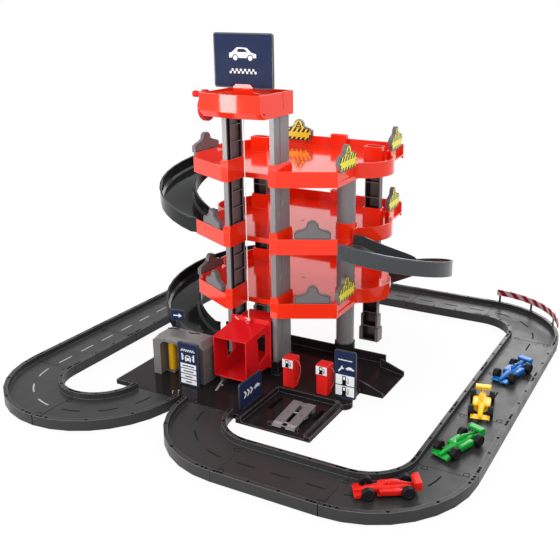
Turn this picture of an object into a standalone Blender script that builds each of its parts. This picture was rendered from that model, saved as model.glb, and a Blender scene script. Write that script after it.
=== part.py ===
"""Toy parking garage: a road loop of clip-together tiles round a three-deck tower with a string lift.

Metres, +Z up, +Y to the back. The origin is on the floor, in the middle of the road loop.
"""
import math

import bmesh
import bpy
from mathutils import Matrix, Vector

GAP = 0.0003            # clearance between pieces that touch on the real toy
TILE_GAP = 0.0005       # seam between two road tiles

# Road tiles
TILE_LENGTH = 0.200
TRACK_WIDTH = 0.1135
BEND_INNER = 0.0815     # inner radius of a bend tile
WALL_HEIGHT = 0.021
WALL_WIDTH = 0.008
WALL_SLOPE = 0.0015     # lean of a side wall's inner face
ROAD_HEIGHT = 0.010
TRACK_SKIN = 0.002
BEND_STEPS = 8
SIDE_TILES = 3          # straight tiles along each long side of the loop

# Barrier rail on the outer wall of one bend
RAIL_FROM_DEG = 26
RAIL_TO_DEG = 67
RAIL_THICK = 0.003
RAIL_LOW = 0.031
RAIL_TOP = 0.046
RAIL_POST = 0.006

# Decks; X is measured from the middle of the lift shaft
AXIS_X = -0.050
DECK_FLOOR_1 = 0.147
DECK_PITCH = 0.136
DECK_COUNT = 3
DECK_SKIN = 0.003
RIM_UP = 0.023          # rim above a deck's floor
RIM_DOWN = 0.009        # rim below a deck's floor
RIM_WALL = 0.0028
SHAFT_HALF = 0.0462     # half the width of the lift's slot in a deck
SHAFT_BACK = -0.062
SHAFT_LIP = 0.002       # low sill that a car crosses between the lift and a deck
FRONT_Y = -0.121
CORNER = (0.170, -0.065)
LOBE_CENTRE = (0.1435, 0.101)
LOBE_RADIUS = 0.070
LOBE_FROM_DEG = -70
LOBE_TO_DEG = 46
LOBE_END = (0.177, 0.186)
BACK_CORNER = (0.166, 0.286)
BACK_Y = 0.297
BACK_HALF = 0.150
COLLAR_UP = 0.012       # pillar collars above the rim
COLLAR_WALL = 0.0025
CUP_HALF = 0.019        # open cup round a back pillar: half its width, depth of its round back
CUP_ROUND = 0.0075
BUMP_HALF = 0.020       # pocket in the middle of the back rim
BUMP_DEPTH = 0.015
BUMP_UP = 0.010
SIDE_RECESS = (0.005, 0.086, 0.003)     # part of a rim that is set back: from, to, depth
BACK_RECESS = (0.0045, 0.096, 0.009)

# Pillars
LIFT_PILLAR_DEPTH = 0.010
LIFT_PILLAR_LENGTH = 0.058
PILLAR_WALL = 0.002
GROOVE_START = 0.0135
GROOVE_WIDTH = 0.011
GROOVE_DEPTH = 0.001
MID_RIB = 0.017         # rib behind a lift pillar's front edge
RIB_PITCH = 0.034
RIB_THICK = 0.0016
BACK_PILLAR = (0.145, 0.166)
BACK_PILLAR_WIDTH = 0.036
BACK_PILLAR_DEPTH = 0.014
BACK_PILLAR_SUNK = 0.006        # its top below the edge of the cup
FOOT_STEP = 0.032       # height of each of the two steps of a back pillar's foot
FOOT_GROW = 0.0028
ROUND_PILLAR = (0.144, 0.029)
ROUND_PILLAR_RADIUS = 0.0195
SOCKET_HEIGHT = 0.030
ROUND_SOCKET_HEIGHT = 0.038

# Ramps
RAMP_CENTRE = (0.187, 0.097)
RAMP_RADIUS = 0.1215
RAMP_WIDTH = 0.080
RAMP_WALL = 0.0025
RAMP_HEIGHT = 0.0265    # walls above the ramp's floor
RAMP_SKIRT = 0.007      # walls below the ramp's floor
RAMP_BEAD = 0.0015      # rolled edge along the top of each wall
RAMP_LEAD = 0.028
RAMP_DROP = 0.013       # step down from a deck to the start of its ramp
RAMP_STEPS = 18

# Ground floor
BASE_TOP = 0.010
BASE_SKIN = 0.003
BASE_LEFT = -0.2225
BASE_BACK = 0.040
BASE_RIGHT = 0.188
BASE_WALL = 0.003
BASE_WALL_TOP = 0.030
WING_LEFT = -0.276
WING_FRONT = -0.289
WING_BACK = -0.155
BAY_LEFT = 0.042
BAY_RIGHT = 0.175
BAY_BACK = -0.170
BAY_FRONT = -0.311
BAY_APRON = 0.012       # strip of base to the left of the bay, in front of the road's line
BAY_FLOOR = 0.004
BAY_RIM = 0.004
BAY_RIM_WALL = 0.003
BOSS_CENTRE = (0.182, -0.158)
BOSS_RADIUS = 0.018
BOSS_TOP = 0.012
EXIT_FRONT = -0.095
EXIT_BACK = 0.020
EXIT_END = 0.238
EXIT_WALL_TOP = 0.028
EXIT_WALL_END = 0.010
EXIT_TIP = 0.0012       # thickness at the foot of the exit ramp

# Lift
CAGE_HALF = 0.039
CAGE_FRONT = -0.205
CAGE_BACK = -0.0635
CAGE_BOTTOM = 0.026
CAGE_TOP = 0.112        # front edge of the sloping roof
ROOF_RISE = 0.010
CAGE_WALL = 0.0022
WINDOW = ((-0.158, 0.044), (-0.128, 0.056), (-0.128, 0.099), (-0.141, 0.106), (-0.163, 0.102),
          (-0.160, 0.090))
PLATE_HALF = 0.0478
PLATE_TOP = 0.130
PLATE_THICK = 0.0022
PLATE_GAP = 0.0012      # the cage's guide plate runs this far in front of the decks
HEAD_HALF = 0.068
HEAD_FRONT = -0.178
HEAD_BACK = -0.057
HEAD_BOTTOM = 0.547
HEAD_TOP = 0.592
HEAD_WALL = 0.0025
HEAD_CHAMFER = 0.012
HEAD_BOW = 0.007        # the middle of the front stands this far in front of its ends
HEAD_GROOVE = 0.0015
TRAY_DEPTH = 0.007
DRUM_Y = -0.144
DRUM_Z = 0.561
DRUM_RADIUS = 0.012
DRUM_HALF = 0.020
DRUM_FLANGE = 0.016
AXLE_RADIUS = 0.003
DISC_RADIUS = 0.027
DISC_THICK = 0.008
DISC_GAP = 0.003        # between the disc and the side of the head
KNOB_RADIUS = 0.0065
KNOB_LENGTH = 0.026
STRING_RADIUS = 0.0008
LUG_SIZE = 0.008
SIGN_WIDTH = 0.131
SIGN_BOTTOM = 0.598
SIGN_TOP = 0.700
SIGN_THICK = 0.004
SIGN_Y = -0.125
SIGN_FOOT = 0.030
TAB_HEIGHT = 0.021
TAB_HALF = 0.022
TAB_FOOT = 0.036

# Car wash
WASH_X = -0.162
WASH_WIDTH = 0.128
WASH_FRONT = -0.227
WASH_DEPTH = 0.056
WASH_TOP = 0.098
WASH_CHAMFER = 0.012
WASH_OPENING = 0.092
WASH_HEADROOM = 0.076
WASH_LINTEL = 0.008     # cut corners of the opening
ROLLER_RADIUS = 0.010
ROLLER_TUFTS = 8
ROLLER_SHELF = 0.003
PIN_RADIUS = 0.002
PIN_LENGTH = 0.006

# Boards and pumps: left or front edge, size
WASH_BOARD = (-0.146, -0.242, 0.043, 0.083)
LANE_BOARD = (0.024, -0.287, 0.079, 0.053)
FUEL_BOARD = (0.1585, -0.150, 0.046, 0.100)
BOARD_THICK = 0.004
BOARD_FOOT = 0.002
PUMP_SIZE = (0.027, 0.030, 0.074)
PUMP_HEAD = 0.025       # height of the wider head
PUMP_NECK = 0.0022      # the head is wider than the cabinet by this on each side
PUMP_CHAMFER = 0.004
PUMPS = ((0.0435, -0.1600), (0.1180, -0.1570))
HOSE_RADIUS = 0.0013

# Service lift: two tracks on an axle near their front edge
SERVICE_LEFT = 0.101
SERVICE_WIDTH = 0.048
SERVICE_TRACK = 0.019
SERVICE_HINGE = (-0.2945, 0.0085)
SERVICE_LENGTH = 0.083
SERVICE_RISE = 0.0085
SERVICE_THICK = 0.003
SERVICE_EDGE = 0.0015
SERVICE_AXLE = 0.0015
SERVICE_LIP = 0.003     # front edge of a track, in front of the axle and below it
SERVICE_BRACKET = 0.007
LEVER_LENGTH = 0.020

# Clip-on boards along the rims
CLIP_WIDTH = 0.073
SIDE_CLIP_WIDTH = 0.084
CLIP_HEIGHT = 0.038     # above the rim
CLIP_DOME = 0.0125      # radius of the round middle
CLIP_GRIP = 0.013       # the leaf on the picture side hangs this far below the rim's edge
CLIP_THICK = 0.0085
CLIP_LIFT = 0.009       # the rims at the sides are this much higher under a clip
CLIP_INSET = 0.005      # the leaf and the raised rim end this far inside the clip's ends

# Cars
CAR_LENGTH = 0.108
CAR_WIDTH = 0.047
WHEEL_RADIUS = 0.0105
WHEEL_WIDTH = 0.011
WHEELBASE = 0.064
CAR_AXLE_RADIUS = 0.0015
WING_CHORD = 0.009
WING_PLATE = 0.0018
TRACK_OUTER = BEND_INNER + TRACK_WIDTH
SIDE_HALF = SIDE_TILES * TILE_LENGTH / 2
LOOP_HALF = SIDE_HALF + TRACK_OUTER
DECK_LEVELS = [DECK_FLOOR_1 + DECK_PITCH * n for n in range(DECK_COUNT)]
SLOT_IN = SHAFT_HALF + RIM_WALL         # slots in which the lift pillars stand
SLOT_OUT = SLOT_IN + LIFT_PILLAR_DEPTH + 2 * GAP
SLOT_FRONT = FRONT_Y + RIM_WALL
SLOT_BACK = SLOT_FRONT + LIFT_PILLAR_LENGTH + 2 * GAP
COLLAR_OUT = SLOT_OUT + COLLAR_WALL
TRAY_FLOOR = HEAD_TOP - TRAY_DEPTH
LIFT_PILLAR_TOP = TRAY_FLOOR - HEAD_WALL - GAP
COLLAR_TOP = DECK_LEVELS[-1] + RIM_UP + COLLAR_UP
STRING_Y = DRUM_Y + DRUM_RADIUS + STRING_RADIUS + GAP
CAGE_PLATE_BACK = FRONT_Y - PLATE_GAP
LANE_X = LOOP_HALF - TRACK_WIDTH / 2            # middle of the lane on the right
LANE_RADIUS = BEND_INNER + TRACK_WIDTH / 2      # middle of the lane in a bend


def arc(centre, radius, from_deg, to_deg, steps):
    """Points on an arc, both ends included."""
    turns = [math.radians(from_deg + (to_deg - from_deg) * n / steps) for n in range(steps + 1)]
    return [(centre[0] + radius * math.cos(a), centre[1] + radius * math.sin(a)) for a in turns]


def mirrored(start, end):
    """The same edge on the left of the tower."""
    return (-end[0], end[1]), (-start[0], start[1])


CARS = {                # middle of the car, heading in degrees
    "red": (*arc((SIDE_HALF, -SIDE_HALF), LANE_RADIUS - 0.01135, -53.5, 0, 1)[0], 212),
    "green": (LANE_X - 0.00325, -SIDE_HALF + 0.40 * TILE_LENGTH, 249),
    "yellow": (LANE_X - 0.01025, -SIDE_HALF + 1.20 * TILE_LENGTH, 283),
    "blue": (LANE_X + 0.00625, -SIDE_HALF + 2.04 * TILE_LENGTH, 254),
}
LOBE = arc(LOBE_CENTRE, LOBE_RADIUS, LOBE_FROM_DEG, LOBE_TO_DEG, 8)
FRONT_RIM = ((COLLAR_OUT, FRONT_Y), CORNER)
SIDE_RIM = (CORNER, LOBE[0])
BACK_SIDE_RIM = (LOBE_END, BACK_CORNER)
BACK_RIM = ((BACK_HALF, BACK_Y), (-BACK_HALF, BACK_Y))
CLIPS = {               # deck, edge of the deck, place along it, picture side outwards
    "clip_3_left": (2, mirrored(*SIDE_RIM), 0.576, True),
    "clip_2_front_left": (1, mirrored(*FRONT_RIM), 0.58, False),
    "clip_1_left": (0, mirrored(*SIDE_RIM), 0.576, True),
    "clip_1_front_left": (0, mirrored(*FRONT_RIM), 0.58, False),
    "clip_2_front_right": (1, FRONT_RIM, 0.595, False),
    "clip_1_front_right": (0, FRONT_RIM, 0.595, False),
    "clip_3_right": (2, SIDE_RIM, 0.424, True),
    "clip_1_right": (0, SIDE_RIM, 0.424, True),
    "clip_3_back_right": (2, BACK_SIDE_RIM, 0.52, True),
    "clip_2_back_right": (1, BACK_SIDE_RIM, 0.43, True),
    "clip_3_back": (2, BACK_RIM, 0.87, False),
}
RECESSES = {            # set-back rims of each deck: edge, recess, middle of the raised part
    0: ((SIDE_RIM, SIDE_RECESS, 0.424), (mirrored(*SIDE_RIM), SIDE_RECESS, 0.576)),
    1: ((BACK_SIDE_RIM, BACK_RECESS, 0.43), (mirrored(*BACK_SIDE_RIM), BACK_RECESS, 0.57)),
    2: ((SIDE_RIM, SIDE_RECESS, 0.424), (mirrored(*SIDE_RIM), SIDE_RECESS, 0.576),
        (BACK_SIDE_RIM, BACK_RECESS, 0.52)),
}

for old in list(bpy.data.objects):
    bpy.data.objects.remove(old, do_unlink=True)


def material(name, colour, roughness=0.35, metallic=0.0):
    made = bpy.data.materials.new(name)
    made.use_nodes = True
    shader = made.node_tree.nodes["Principled BSDF"]
    shader.inputs["Base Color"].default_value = (*colour, 1.0)
    shader.inputs["Roughness"].default_value = roughness
    shader.inputs["Metallic"].default_value = metallic
    made.diffuse_color = (*colour, 1.0)
    return made


RED = material("red_plastic", (0.80, 0.04, 0.03), 0.25)
ROAD = material("road_plastic", (0.060, 0.060, 0.064), 0.35)
BASE = material("base_plastic", (0.030, 0.027, 0.030), 0.15)
RAMP = material("ramp_plastic", (0.020, 0.021, 0.022), 0.20)
RAMP_GREY = material("ramp_grey_plastic", (0.060, 0.065, 0.070), 0.30)
GREY = material("pillar_plastic", (0.22, 0.22, 0.23), 0.35)
CLIP_GREY = material("clip_plastic", (0.25, 0.22, 0.24), 0.40)
HOUSING = material("housing_plastic", (0.20, 0.18, 0.18), 0.40)
NAVY = material("sign_plastic", (0.025, 0.035, 0.085), 0.35)
YELLOW = material("hazard_plastic", (0.80, 0.70, 0.06), 0.40)
ROLLER = material("roller_foam", (0.65, 0.40, 0.01), 0.80)
CORD = material("string", (0.80, 0.80, 0.78), 0.80)
TYRE = material("tyre_plastic", (0.015, 0.015, 0.016), 0.45)
CAR_COLOURS = {
    "red": material("car_red", (0.80, 0.03, 0.03), 0.25),
    "green": material("car_green", (0.01, 0.35, 0.08), 0.25),
    "yellow": material("car_yellow", (0.85, 0.55, 0.01), 0.25),
    "blue": material("car_blue", (0.01, 0.17, 0.55), 0.25),
}


def finish(name, shape, colour, origin=(0, 0, 0)):
    """Turn a bmesh into a named object with outward faces. A moving piece has its origin on its axis."""
    bmesh.ops.recalc_face_normals(shape, faces=shape.faces)
    mesh = bpy.data.meshes.new(name)
    bmesh.ops.translate(shape, vec=-Vector(origin), verts=shape.verts)
    shape.to_mesh(mesh)
    shape.free()
    mesh.materials.append(colour)
    mesh.shade_smooth()
    mesh.set_sharp_from_angle(angle=math.radians(35))
    made = bpy.data.objects.new(name, mesh)
    made.location = origin
    bpy.context.scene.collection.objects.link(made)
    return made


def boolean(target, shape, operation):
    tool = finish(target.name + "_guide", shape, target.data.materials[0])
    tool.hide_render = True
    tool.display_type = "WIRE"
    step = target.modifiers.new(operation.lower(), "BOOLEAN")
    step.object = tool
    step.operation = operation
    step.solver = "EXACT"


def cut(target, *shapes):
    """Take away closed shapes that don't touch each other."""
    boolean(target, gather(shapes), "DIFFERENCE")


def join(target, *shapes):
    """Add closed shapes that don't touch each other."""
    boolean(target, gather(shapes), "UNION")


def gather(shapes):
    whole = bmesh.new()
    for shape in shapes:
        mesh = bpy.data.meshes.new("piece")
        bmesh.ops.recalc_face_normals(shape, faces=shape.faces)
        shape.to_mesh(mesh)
        shape.free()
        whole.from_mesh(mesh)
        bpy.data.meshes.remove(mesh)
    return whole


def placed(shape, position, turn_deg=0.0):
    """The shape turned about Z and moved."""
    turn = Matrix.Translation(position) @ Matrix.Rotation(math.radians(turn_deg), 4, "Z")
    bmesh.ops.transform(shape, matrix=turn, verts=shape.verts)
    return shape


def loops_solid(loops):
    """Solid through a list of point loops, each as long as the next, with a face on both ends."""
    shape = bmesh.new()
    rings = [[shape.verts.new(point) for point in loop] for loop in loops]
    shape.faces.new(rings[0])
    shape.faces.new(rings[-1])
    for near, far in zip(rings, rings[1:]):
        for n in range(len(near)):
            after = (n + 1) % len(near)
            shape.faces.new((near[n], near[after], far[after], far[n]))
    return shape


def raised(points, height):
    return [(x, y, height) for x, y in points]


def prism(points, low, high):
    """Outline in X and Y, raised from one height to another."""
    return loops_solid([raised(points, low), raised(points, high)])


def prism_x(points, low, high):
    """Outline in Y and Z, drawn along X."""
    return loops_solid([[(low, a, b) for a, b in points], [(high, a, b) for a, b in points]])


def prism_y(points, low, high):
    """Outline in X and Z, drawn along Y."""
    return loops_solid([[(a, low, b) for a, b in points], [(a, high, b) for a, b in points]])


def box(x0, x1, y0, y1, z0, z1):
    return prism([(x0, y0), (x1, y0), (x1, y1), (x0, y1)], z0, z1)


def circle(centre, radius, steps=20):
    return arc(centre, radius, 0, 360, steps)[:-1]


def rounded(x0, x1, y0, y1, radius, steps=3):
    """Rectangle outline with round corners."""
    corners = (((x1 - radius, y0 + radius), -90), ((x1 - radius, y1 - radius), 0),
               ((x0 + radius, y1 - radius), 90), ((x0 + radius, y0 + radius), 180))
    return [p for centre, start in corners for p in arc(centre, radius, start, start + 90, steps)]


def inset(points, distance):
    """Outline moved inwards by one distance, with mitred corners. Points run anticlockwise."""
    moved = []
    for n, here in enumerate(points):
        before = Vector(points[n - 1])
        after = Vector(points[(n + 1) % len(points)])
        one = (Vector(here) - before).normalized()
        two = (after - Vector(here)).normalized()
        normal_one = Vector((-one.y, one.x))
        normal_two = Vector((-two.y, two.x))
        mitre = (normal_one + normal_two) / (1 + normal_one.dot(normal_two))
        moved.append(tuple(Vector(here) + mitre * distance))
    return moved


def lathe(axis, centre, profile, steps):
    """Turned solid: (place along the axis, radius) pairs about an axis parallel to X, Y or Z."""
    loops = []
    for along, radius in profile:
        ring = circle((0, 0), radius, steps)
        if axis == "x":
            loops.append([(along, centre[0] + a, centre[1] + b) for a, b in ring])
        elif axis == "y":
            loops.append([(centre[0] + a, along, centre[1] + b) for a, b in ring])
        else:
            loops.append([(centre[0] + a, centre[1] + b, along) for a, b in ring])
    return loops_solid(loops)


def tube(path, radius, sides=6):
    """Round bar along a flat path in a plane of constant Y."""
    loops = []
    for n, here in enumerate(path):
        before = Vector(path[max(n - 1, 0)])
        after = Vector(path[min(n + 1, len(path) - 1)])
        along = (after - before).normalized()
        across = Vector((along.z, 0, -along.x))
        turns = [2 * math.pi * k / sides for k in range(sides)]
        loops.append([Vector(here) + radius * (math.cos(a) * across + math.sin(a) * Vector((0, 1, 0)))
                      for a in turns])
    return loops_solid(loops)


# Road tiles

def track_profile():
    """Cross-section of a tile: two hollow side walls and a thin road, open below."""
    top = WALL_HEIGHT - TRACK_SKIN
    under = ROAD_HEIGHT - TRACK_SKIN
    half = [(0, 0), (0, WALL_HEIGHT), (WALL_WIDTH, WALL_HEIGHT), (WALL_WIDTH + WALL_SLOPE, ROAD_HEIGHT)]
    inner = [(TRACK_SKIN, 0), (TRACK_SKIN, top), (WALL_WIDTH - TRACK_SKIN, top),
             (WALL_WIDTH - TRACK_SKIN + WALL_SLOPE, under)]
    outer_loop = half + [(TRACK_WIDTH - x, z) for x, z in reversed(half)]
    inner_loop = [(TRACK_WIDTH - x, z) for x, z in inner] + list(reversed(inner))
    return outer_loop + inner_loop


def straight_track(name, start, heading_deg, tiles):
    """Straight road from a start corner; the width lies to the left of the heading."""
    along = Vector((math.cos(math.radians(heading_deg)), math.sin(math.radians(heading_deg)), 0))
    across = Vector((-along.y, along.x, 0))
    loops = []
    for s in (TILE_GAP / 2, tiles * TILE_LENGTH - TILE_GAP / 2):
        origin = Vector((*start, 0)) + along * s
        loops.append([origin + across * x + Vector((0, 0, z)) for x, z in track_profile()])
    return finish(name, loops_solid(loops), ROAD)


def bend_track(name, centre, from_deg, to_deg):
    """Bend round a centre, anticlockwise from one angle to another."""
    trim = math.degrees(TILE_GAP / 2 / (BEND_INNER + TRACK_WIDTH / 2))
    span = to_deg - from_deg - 2 * trim
    steps = round(BEND_STEPS * (to_deg - from_deg) / 90)
    loops = []
    for n in range(steps + 1):
        turn = math.radians(from_deg + trim + span * n / steps)
        out = Vector((math.cos(turn), math.sin(turn), 0))
        origin = Vector((*centre, 0)) + out * BEND_INNER
        loops.append([origin + out * x + Vector((0, 0, z)) for x, z in track_profile()])
    return finish(name, loops_solid(loops), ROAD)


def make_tracks():
    near = -SIDE_HALF
    far = SIDE_HALF
    front_bend_x = far - TILE_LENGTH
    bend_track("track_bend_front_left", (front_bend_x, near), 180, 270)
    straight_track("track_front", (front_bend_x, -LOOP_HALF), 0, 1)
    bend_track("track_bend_front_right", (far, near), 270, 360)
    straight_track("track_right_near", (LOOP_HALF, near), 90, 1)
    straight_track("track_right_far", (LOOP_HALF, near + TILE_LENGTH), 90, 2)
    bend_track("track_bend_back_right", (far, far), 0, 90)
    straight_track("track_back", (far, LOOP_HALF), 180, SIDE_TILES)
    bend_track("track_bend_back_left", (near, far), 90, 180)
    straight_track("track_left", (-LOOP_HALF, far), 270, SIDE_TILES)
    bend_track("track_loop_left", (near, near), 180, 360)


def make_rail():
    """Curved board on three posts along the outer wall of the bend at the back right."""
    middle = TRACK_OUTER - WALL_WIDTH / 2
    inner = middle - RAIL_THICK / 2
    outer = middle + RAIL_THICK / 2
    centre = (SIDE_HALF, SIDE_HALF)
    band = arc(centre, outer, RAIL_FROM_DEG, RAIL_TO_DEG, 8)
    band += arc(centre, inner, RAIL_TO_DEG, RAIL_FROM_DEG, 8)
    rail = finish("barrier_rail", prism(band, RAIL_LOW, RAIL_TOP), CLIP_GREY)
    posts = []
    for share in (0.06, 0.5, 0.94):
        turn = RAIL_FROM_DEG + (RAIL_TO_DEG - RAIL_FROM_DEG) * share
        place = arc(centre, middle, turn, turn, 1)[0]
        post = box(-RAIL_THICK * 0.4, RAIL_THICK * 0.4, -RAIL_POST / 2, RAIL_POST / 2,
                   WALL_HEIGHT + GAP, RAIL_LOW + 0.003)
        posts.append(placed(post, (*place, 0), turn))
    join(rail, *posts)


# Ground floor

def make_base():
    front = -SIDE_HALF + TILE_GAP
    apron = BAY_LEFT - BAY_APRON
    outline = [(BASE_LEFT, front), (apron, front), (apron, BAY_FRONT), (BASE_RIGHT, BAY_FRONT),
               (BASE_RIGHT, BASE_BACK), (BASE_LEFT, BASE_BACK), (BASE_LEFT, WING_BACK),
               (WING_LEFT, WING_BACK), (WING_LEFT, WING_FRONT), (BASE_LEFT, WING_FRONT)]
    base = finish("base_plate", prism(outline, 0, BASE_TOP), BASE)
    bay_wall = BAY_BACK + BAY_RIM_WALL
    hollow = [(BASE_LEFT + BASE_SKIN, front + BASE_SKIN), (apron - BASE_SKIN, front + BASE_SKIN),
              (apron - BASE_SKIN, bay_wall), (BASE_RIGHT - BASE_SKIN - BOSS_RADIUS, bay_wall),
              (BASE_RIGHT - BASE_SKIN - BOSS_RADIUS, BASE_BACK - BASE_SKIN),
              (BASE_LEFT + BASE_SKIN, BASE_BACK - BASE_SKIN)]
    under_wing = box(WING_LEFT + BASE_SKIN, BASE_LEFT - BASE_SKIN, WING_FRONT + BASE_SKIN,
                     WING_BACK - BASE_SKIN, -BASE_SKIN, BASE_TOP - BASE_SKIN)
    bay = box(BAY_LEFT, BAY_RIGHT, BAY_FRONT - BASE_SKIN, BAY_BACK, BAY_FLOOR, BASE_TOP + BASE_SKIN)
    cut(base, prism(hollow, -BASE_SKIN, BASE_TOP - BASE_SKIN), under_wing, bay)

    sunk = BASE_TOP - BASE_SKIN / 2         # what stands on the floor starts inside it
    rim = [(BAY_LEFT - BAY_RIM_WALL, BAY_FRONT), (BAY_LEFT, BAY_FRONT), (BAY_LEFT, BAY_BACK),
           (BAY_RIGHT, BAY_BACK), (BAY_RIGHT, BAY_FRONT), (BAY_RIGHT + BAY_RIM_WALL, BAY_FRONT),
           (BAY_RIGHT + BAY_RIM_WALL, bay_wall), (BAY_LEFT - BAY_RIM_WALL, bay_wall)]
    back_wall = box(BASE_LEFT, BASE_RIGHT, BASE_BACK - BASE_WALL, BASE_BACK, sunk, BASE_WALL_TOP)
    exit_slope = prism_y([(BASE_RIGHT - BASE_SKIN, 0), (EXIT_END, 0), (EXIT_END, EXIT_TIP),
                          (BASE_RIGHT, BASE_TOP), (BASE_RIGHT - BASE_SKIN, BASE_TOP)],
                         EXIT_FRONT, EXIT_BACK)
    join(base, prism(rim, sunk, BASE_TOP + BAY_RIM), back_wall, exit_slope)

    side = [(BASE_RIGHT - BASE_SKIN, BASE_SKIN / 2), (EXIT_END, BASE_SKIN / 4), (EXIT_END, EXIT_WALL_END),
            (BASE_RIGHT, EXIT_WALL_TOP), (BASE_RIGHT - BASE_SKIN, EXIT_WALL_TOP)]
    sockets = [prism_y(side, EXIT_FRONT, EXIT_FRONT + BASE_WALL),
               prism_y(side, EXIT_BACK - BASE_WALL, EXIT_BACK),
               prism(circle(BOSS_CENTRE, BOSS_RADIUS, 18), 0, BOSS_TOP)]
    round_place = (AXIS_X + ROUND_PILLAR[0], ROUND_PILLAR[1])
    round_top = BASE_TOP + ROUND_SOCKET_HEIGHT
    sockets.append(prism(circle(round_place, ROUND_PILLAR_RADIUS + GAP + COLLAR_WALL, 22), 0, round_top))
    holes = [prism(circle(round_place, ROUND_PILLAR_RADIUS + GAP, 22), BASE_TOP, round_top + BASE_SKIN)]
    top = BASE_TOP + SOCKET_HEIGHT
    for hand in (-1, 1):
        x0, x1 = sorted((AXIS_X + hand * (SLOT_IN - COLLAR_WALL), AXIS_X + hand * COLLAR_OUT))
        sockets.append(box(x0, x1, SLOT_FRONT - COLLAR_WALL, SLOT_BACK + COLLAR_WALL, sunk, top))
        holes.append(box(x0 + COLLAR_WALL, x1 - COLLAR_WALL, SLOT_FRONT, SLOT_BACK,
                         BASE_TOP, top + BASE_SKIN))
        half = SERVICE_BRACKET / 2
        shelf_x = SERVICE_LEFT + SERVICE_WIDTH / 2 + hand * (SERVICE_WIDTH / 2 + half + 2 * GAP)
        sockets.append(box(shelf_x - half, shelf_x + half, SERVICE_HINGE[0] - half,
                           SERVICE_HINGE[0] + half, BAY_FLOOR / 2, SERVICE_HINGE[1] + half))
    join(base, *sockets)
    reach = 3 * SERVICE_AXLE
    holes.append(prism_x(circle(SERVICE_HINGE, SERVICE_AXLE + GAP, 12), SERVICE_LEFT - reach,
                         SERVICE_LEFT + SERVICE_WIDTH + reach))
    cut(base, *holes)


# Tower

def deck_outline():
    """Outline of a deck, anticlockwise, with the slot for the lift in its front edge."""
    right = [(SHAFT_HALF, FRONT_Y), (COLLAR_OUT, FRONT_Y), CORNER, *LOBE, LOBE_END, BACK_CORNER,
             (BACK_HALF, BACK_Y)]
    left = [(-x, y) for x, y in reversed(right)]
    shaft = [(-SHAFT_HALF, SHAFT_BACK), (SHAFT_HALF, SHAFT_BACK)]
    return [(AXIS_X + x, y) for x, y in right + left + shaft]


def ramp_mouth(hand, at_back, low, high):
    """Cut through the rim where a ramp joins a deck."""
    reach = RAMP_WIDTH / 2 - RAMP_WALL
    middle = RAMP_CENTRE[1] + (RAMP_RADIUS if at_back else -RAMP_RADIUS)
    x0, x1 = sorted((AXIS_X + hand * (CORNER[0] - 0.015), AXIS_X + hand * (LOBE_CENTRE[0] + LOBE_RADIUS)))
    return box(x0, x1, middle - reach, middle + reach, low, high)


def on_rim(shape, rim, share, height):
    """Shape moved to a place on a deck's edge: its X runs along the edge, its Y inwards."""
    start = Vector((AXIS_X + rim[0][0], rim[0][1]))
    end = Vector((AXIS_X + rim[1][0], rim[1][1]))
    middle = start.lerp(end, share)
    turn = math.degrees(math.atan2(end.y - start.y, end.x - start.x))
    return placed(shape, (middle.x, middle.y, height), turn)


def rim_recess(rim, recess, share):
    """Wall set back from a deck's edge, its pocket, and the room below; heights above the deck's floor."""
    length = (Vector(rim[1]) - Vector(rim[0])).length
    low, high, depth = recess
    if rim[0][0] < 0:                   # on the left the edge runs the other way
        low, high = length - high, length - low
    low -= share * length
    high -= share * length
    rise = SIDE_CLIP_WIDTH / 2 - CLIP_INSET
    front = max(low, -rise)
    sides = [(low - RIM_WALL, -DECK_SKIN / 2), (high + RIM_WALL, -DECK_SKIN / 2), (high + RIM_WALL, RIM_UP),
             (rise, RIM_UP), (rise, RIM_UP + CLIP_LIFT), (front, RIM_UP + CLIP_LIFT), (front, RIM_UP),
             (low - RIM_WALL, RIM_UP)]
    wall = prism_y(sides, RIM_WALL / 2, depth + RIM_WALL)
    pocket = box(low, high, -depth - RIM_WALL, depth, 0, RIM_UP + 2 * CLIP_LIFT)
    under = box(low, high, -depth, RIM_WALL + GAP, -2 * RIM_DOWN, -DECK_SKIN)
    return wall, pocket, under


def back_cup(hand, grow, low, high):
    """Cup round a back pillar, flat in front and round behind."""
    x = AXIS_X + hand * BACK_PILLAR[0]
    y = BACK_PILLAR[1]
    depth = BACK_PILLAR_DEPTH / 2 + GAP
    half = CUP_HALF + grow
    turns = [math.pi * n / 8 for n in range(9)]
    back = [(x + half * math.cos(a), y + depth + (CUP_ROUND + grow) * math.sin(a)) for a in turns]
    return prism([(x - half, y - depth - grow), (x + half, y - depth - grow)] + back, low, high)


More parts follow.
